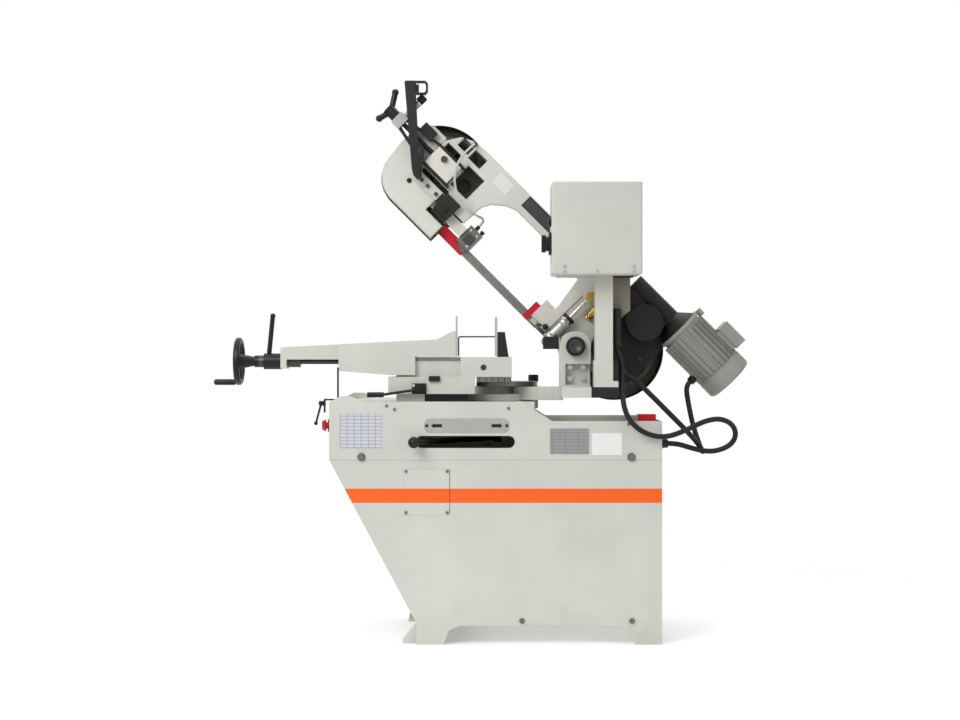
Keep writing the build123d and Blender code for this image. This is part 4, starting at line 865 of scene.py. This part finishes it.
# Blade teeth along the run between the guides: two triangles and three sides for each tooth
teeth = {"first": -545.0, "last": -135.0, "pitch": 6.35, "root": -44.2, "tip": -47.4, "half": 0.45,
         "rake": 1.4, "set": (0.0, 0.35, -0.35)}
count = int((teeth["last"] - teeth["first"]) / teeth["pitch"])
u0 = teeth["first"] + np.arange(count) * teeth["pitch"]
root, tip = np.full(count, teeth["root"]), np.full(count, teeth["tip"])
corners = np.stack([np.stack([u0, root], -1), np.stack([u0 + teeth["pitch"], root], -1),
                    np.stack([u0 + teeth["rake"], tip], -1)], 1)
lean = np.zeros((count, 3))
lean[:, 2] = np.resize(teeth["set"], count)  # only the tips lean
sides = [np.concatenate([corners, (s * teeth["half"] + lean)[..., None]], -1) for s in (-1, 1)]
toothPoints = np.stack(sides, 1)
base = (np.arange(count) * 6)[:, None]
triangles = np.concatenate([base + np.array(t) for t in ((0, 2, 1), (3, 4, 5))]).tolist()
quads = np.concatenate([base + np.array(t) for t in ((0, 3, 5, 2), (2, 5, 4, 1), (1, 4, 3, 0))]).tolist()
addPiece("bladeTeeth", bowPoints(toothPoints.reshape(-1, 3)), triangles + quads, "blade", "bow",
         smooth=False, slot="blade_steel")


knurlMesh = {"rows": 10, "perLobe": 6, "endFall": 0.12, "endPower": 8}


def knurledForm(start, direction, length, radius, lobes, depth):
    # a sleeve whose radius waves round its axis, drawn in a little at both ends
    rows, sides = knurlMesh["rows"], lobes * knurlMesh["perLobe"]
    along, ring = ringRound(direction, sides)
    a = np.linspace(0, 2 * np.pi, sides, endpoint=False)
    t = np.linspace(0, 1, rows)
    endFall = 1 - knurlMesh["endFall"] * np.abs(2 * t - 1) ** knurlMesh["endPower"]
    wave = 1 - depth * (0.5 + 0.5 * np.cos(lobes * a))
    reach = radius * endFall[:, None] * wave[None]
    points = np.asarray(start) + (t * length)[:, None, None] * along + reach[..., None] * ring[None]
    return points.reshape(-1, 3), capped(gridFaces(rows, sides, closeCols=True), rows, sides)


bowV = (bowAxes["tilt"], 0, bowAxes["tilt"])
knurls = {
    "tensionKnob": {
        "start": bowPoint(-967, 218, -82), "direction": bowV, "long": 0.0275, "radius": 0.0146, "lobes": 22,
        "depth": 0.08, "skin": "plastic", "body": "bow", "slot": "black_plastic"},
    "pivotCap": {
        "start": (0.160, -0.2125, 0.985), "direction": (0, -1, 0), "long": 0.018, "radius": 0.0332,
        "lobes": 40, "depth": 0.04, "skin": "black", "body": "bow", "slot": "black_paint"},
    "tableKnobGrip": {
        "start": (0.030, 0.134, 0.8615), "direction": (0, 0, 1), "long": 0.026, "radius": 0.0182, "lobes": 12,
        "depth": 0.12, "skin": "plastic", "body": "table_lock", "slot": "black_plastic"},
    "brassGrip": {
        "start": bowPoint(-36, 132, -80), "direction": bowV, "long": 0.03, "radius": 0.0142, "lobes": 26,
        "depth": 0.05, "skin": "brass", "body": "bow", "slot": "brass"},
}
for knurlName, spec in knurls.items():
    points, faces = knurledForm(spec["start"], spec["direction"], spec["long"], spec["radius"],
                                spec["lobes"], spec["depth"])
    addPiece(knurlName, points, faces, spec["skin"], spec["body"], slot=spec["slot"])

# Thread on the vice screw, as far as stays clear of the nut: a four-point profile wound round the axis
thread = {"from": -0.764, "to": -0.568, "pitch": 0.006, "root": 0.0089, "crest": 0.0101,
          "y": -0.170, "z": 0.935, "steps": 16, "cover": 0.9}
turns = (thread["to"] - thread["from"]) / thread["pitch"]
a = np.linspace(0, 2 * np.pi * turns, int(turns * thread["steps"]))[:, None]
profile = np.array([(0.0, 0.0), (0.25, 1.0), (0.5, 1.0), (0.75, 0.0)])
x = thread["from"] + a / (2 * np.pi) * thread["pitch"] + profile[:, 0] * thread["pitch"] * thread["cover"]
r = thread["root"] + profile[:, 1] * (thread["crest"] - thread["root"])
threadPoints = np.stack([x, thread["y"] + r * np.cos(a), thread["z"] + r * np.sin(a)], -1)
addPiece("screwThread", threadPoints, gridFaces(len(a), len(profile)), "screw", "screw", slot="steel")

bowLabels = {
    "bowLabel": {"u": -566.0, "v": 226.0, "y": -66.0, "wide": 0.066, "high": 0.046,
                 "tone": srgb(222, 221, 216)},
    "spineStrip": {"u": -320.0, "v": 240.0, "y": -62.0, "wide": 0.292, "high": 0.036,
                   "tone": srgb(64, 64, 66)},
}
bowFilm = {"corner": 0.003, "thick": 0.0008, "bevel": 0.0003}
for labelName, spec in bowLabels.items():
    skins[labelName] = labelFinish(labelName + "Finish", spec["tone"])
    points, faces = plateForm(spec["wide"], spec["high"], bowFilm["corner"], bowFilm["thick"],
                              onBowFront(spec["u"], spec["v"], spec["y"]), bowFilm["bevel"])
    addPiece(labelName, points, faces, labelName, "bow", smooth=False, slot="grey_paint")

# Turned details: latch, caps, taps, damper rings, nuts and collars; profiles are (along, radius)
turned = {
    "coverLatch": {
        "start": bowPoint(-803, 6, -63), "direction": (0, -1, 0),
        "skin": "plastic", "body": "bow", "slot": "black_plastic",
        "profile": [(0, 0.0085), (0.003, 0.0085), (0.004, 0.0075), (0.004, 0.0004)]},
    "tensionRing": {
        "start": bowPoint(-967, 211, -82), "direction": bowV,
        "skin": "bright", "body": "bow", "slot": "steel",
        "profile": [(0, 0.0131), (0.0008, 0.0142), (0.0062, 0.0142), (0.007, 0.0131)]},
    "pivotFace": {
        "start": (0.160, -0.2305, 0.985), "direction": (0, -1, 0),
        "skin": "darkMetal", "body": "bow", "slot": "steel",
        "profile": [(0, 0.0225), (0.0028, 0.0225), (0.0033, 0.0215), (0.0033, 0.0155), (0.0016, 0.0145),
                    (0.0016, 0.0004)]},
    "valveStem": {
        "start": bowPoint(-36, 168, -80), "direction": bowV,
        "skin": "brass", "body": "bow", "slot": "brass",
        "profile": [(-0.001, 0.006), (0.008, 0.006), (0.009, 0.0095), (0.015, 0.0095), (0.016, 0.008),
                    (0.016, 0.0004)]},
    "valveElbow": {
        "start": bowPoint(-36, 111, -90), "direction": (0, -1, 0),
        "skin": "brass", "body": "bow", "slot": "brass",
        "profile": [(0, 0.008), (0.012, 0.008), (0.013, 0.006), (0.018, 0.006), (0.018, 0.0004)]},
    "damperCollar": {
        "start": bowPoint(-80, 50, -93), "direction": bowV, "hollow": True,
        "skin": "plastic", "body": "barrel", "slot": "black_plastic",
        "profile": [(0, 0.0203), (0.001, 0.0228), (0.0115, 0.0228), (0.0125, 0.0203)]},
    "damperSleeve": {
        "start": bowPoint(-80, 22, -93), "direction": bowV, "hollow": True,
        "skin": "barrel", "body": "barrel", "slot": "steel",
        "profile": [(0, 0.0203), (0.0015, 0.0222), (0.0265, 0.0222), (0.0275, 0.0203)]},
    "damperFoot": {
        "start": bowPoint(-80, -42.5, -93), "direction": bowV, "hollow": True,
        "skin": "barrel", "body": "barrel", "slot": "steel",
        "profile": [(0, 0.0203), (0.0015, 0.0222), (0.0195, 0.0222), (0.0205, 0.0203)]},
    "fixedKnob": {
        "start": bowPoint(-116, -20, -79), "direction": (0, -1, 0),
        "skin": "plastic", "body": "bow", "slot": "black_plastic",
        "profile": [(0, 0.0105), (0.006, 0.0105), (0.0075, 0.009), (0.0075, 0.0004)]},
    "headTap": {
        "start": bowPoint(-500, 49, -10), "direction": bowV,
        "skin": "plastic", "body": "guide", "slot": "black_plastic",
        "profile": [(0, 0.005), (0.005, 0.005), (0.006, 0.008), (0.014, 0.008), (0.0155, 0.0065),
                    (0.0155, 0.0004)]},
    "tubeSocket": {
        "start": bowPoint(-730, 253, -66), "direction": (0, -1, 0),
        "skin": "plastic", "body": "bow", "slot": "black_plastic",
        "profile": [(0, 0.0075), (0.009, 0.0075), (0.010, 0.0066), (0.016, 0.006)]},
    "conduitNutA": {
        "start": (0.441, -0.230, 0.661), "direction": (1, 0, 0),
        "skin": "plastic", "body": "base", "slot": "black_plastic",
        "profile": [(0.0, 0.0165), (0.009, 0.0165), (0.010, 0.0150), (0.024, 0.0146), (0.026, 0.0115)]},
    "conduitNutB": {
        "start": bowPoint(362, 214, -140), "direction": tuple(-c for c in bowV),
        "skin": "plastic", "body": "bow", "slot": "black_plastic",
        "profile": [(0.0, 0.0155), (0.008, 0.0155), (0.009, 0.0142), (0.021, 0.0138), (0.0225, 0.0105)]},
    "ductCollar": {
        "start": (0.294, -0.262, 1.000), "direction": (0, 0, -1),
        "skin": "plastic", "body": "swivel", "slot": "black_plastic",
        "profile": [(0, 0.0152), (0.001, 0.0165), (0.013, 0.0165), (0.0145, 0.012)]},
}
turnedSides = 32
for turnedName, spec in turned.items():
    points, faces = turnedForm(spec["profile"], turnedSides, spec["start"], spec["direction"],
                               spec.get("hollow", False))
    addPiece(turnedName, points, faces, spec["skin"], spec["body"], slot=spec["slot"])
print("details made")

# Camera, light and floor
shot = {"place": (-0.160, -5.600, 0.9395), "lens": 60.34, "sensor": 36.0}
camera = bpy.data.cameras.new("photoCamera")
camera.lens, camera.sensor_width, camera.sensor_fit = shot["lens"], shot["sensor"], "HORIZONTAL"
cameraHolder = bpy.data.objects.new("photoCamera", camera)
cameraHolder.location, cameraHolder.rotation_euler = shot["place"], (math.pi / 2, 0, 0)
bpy.context.scene.collection.objects.link(cameraHolder)
bpy.context.scene.camera = cameraHolder

lamps = {
    "keyLamp": {"place": (-1.9, -2.8, 3.0), "aim": (-0.1, 0, 1.1), "size": 2.0, "power": 84},
    "fillLamp": {"place": (3.2, -3.0, 2.2), "aim": (0, 0, 0.9), "size": 2.6, "power": 20},
    "topLamp": {"place": (0.2, 0.6, 4.2), "aim": (0, 0, 1.0), "size": 3.0, "power": 66},
}
for lampName, spec in lamps.items():
    light = bpy.data.lights.new(lampName, "AREA")
    light.size, light.energy = spec["size"], spec["power"]
    holder = bpy.data.objects.new(lampName, light)
    holder.location = spec["place"]
    holder.rotation_euler = (Vector(spec["aim"]) - holder.location).to_track_quat("-Z", "Y").to_euler()
    bpy.context.scene.collection.objects.link(holder)

# The sky lights the part softly, and is plain white where the camera, gloss or glass sees it
sky = {"tone": (0.96, 0.98, 1.0, 1), "strength": 0.42}
world = bpy.data.worlds.new("studio")
bpy.context.scene.world = world
world.use_nodes = True
tree = world.node_tree
tree.nodes.clear()
pathNode = tree.nodes.new("ShaderNodeLightPath")
direct = tree.nodes.new("ShaderNodeMath")
seen = tree.nodes.new("ShaderNodeMath")
direct.operation = seen.operation = "MAXIMUM"
ambient = tree.nodes.new("ShaderNodeBackground")
ambient.inputs[0].default_value, ambient.inputs[1].default_value = sky["tone"], sky["strength"]
white = tree.nodes.new("ShaderNodeBackground")
white.inputs[0].default_value, white.inputs[1].default_value = (1, 1, 1, 1), 1.0
both = tree.nodes.new("ShaderNodeMixShader")
output = tree.nodes.new("ShaderNodeOutputWorld")
for source, target in (
        (pathNode.outputs["Is Camera Ray"], direct.inputs[0]),
        (pathNode.outputs["Is Glossy Ray"], direct.inputs[1]),
        (direct.outputs[0], seen.inputs[0]), (pathNode.outputs["Is Transmission Ray"], seen.inputs[1]),
        (seen.outputs[0], both.inputs[0]), (ambient.outputs[0], both.inputs[1]),
        (white.outputs[0], both.inputs[2]), (both.outputs[0], output.inputs[0])):
    tree.links.new(source, target)

# The floor takes the shadow near the part and fades out to the white behind it
floorSpec = {"reach": 9.0, "tone": (0.93, 0.93, 0.93, 1), "dull": (0.92, 0.92, 0.92, 1), "glow": 0.3,
             "near": 1.1, "far": 2.6}
reach = floorSpec["reach"]
floorMesh = bpy.data.meshes.new("studioFloor")
corners = [(-reach, -reach, 0), (reach, -reach, 0), (reach, reach, 0), (-reach, reach, 0)]
floorMesh.from_pydata(corners, [], [(0, 1, 2, 3)])
floorSkin = Finish("studioFloor", Roughness=0.9)
floorSkin.shader.inputs["Emission Color"].default_value = (1, 1, 1, 1)
floorSkin.shader.inputs["Emission Strength"].default_value = floorSpec["glow"]
floorSkin.set(colour=floorSkin.blend(floorSkin.noise(0.8, 2.0), floorSpec["dull"], floorSpec["tone"]))
gone = floorSkin.ease(floorSkin.away(floorSkin.place()[0]), floorSpec["near"], floorSpec["far"])
clear = floorSkin.node("ShaderNodeBsdfTransparent").outputs[0]
fade = floorSkin.node("ShaderNodeMixShader", {}, {0: gone, 1: floorSkin.shader.outputs[0], 2: clear})
ending = next(n for n in floorSkin.tree.nodes if n.type == "OUTPUT_MATERIAL")
floorSkin.tree.links.new(fade.outputs[0], ending.inputs["Surface"])
floorMesh.materials.append(floorSkin.material)
floor = bpy.data.objects.new("studioFloor", floorMesh)
bpy.context.scene.collection.objects.link(floor)
bpy.context.scene.view_settings.view_transform = "Standard"
print("camera and light set")
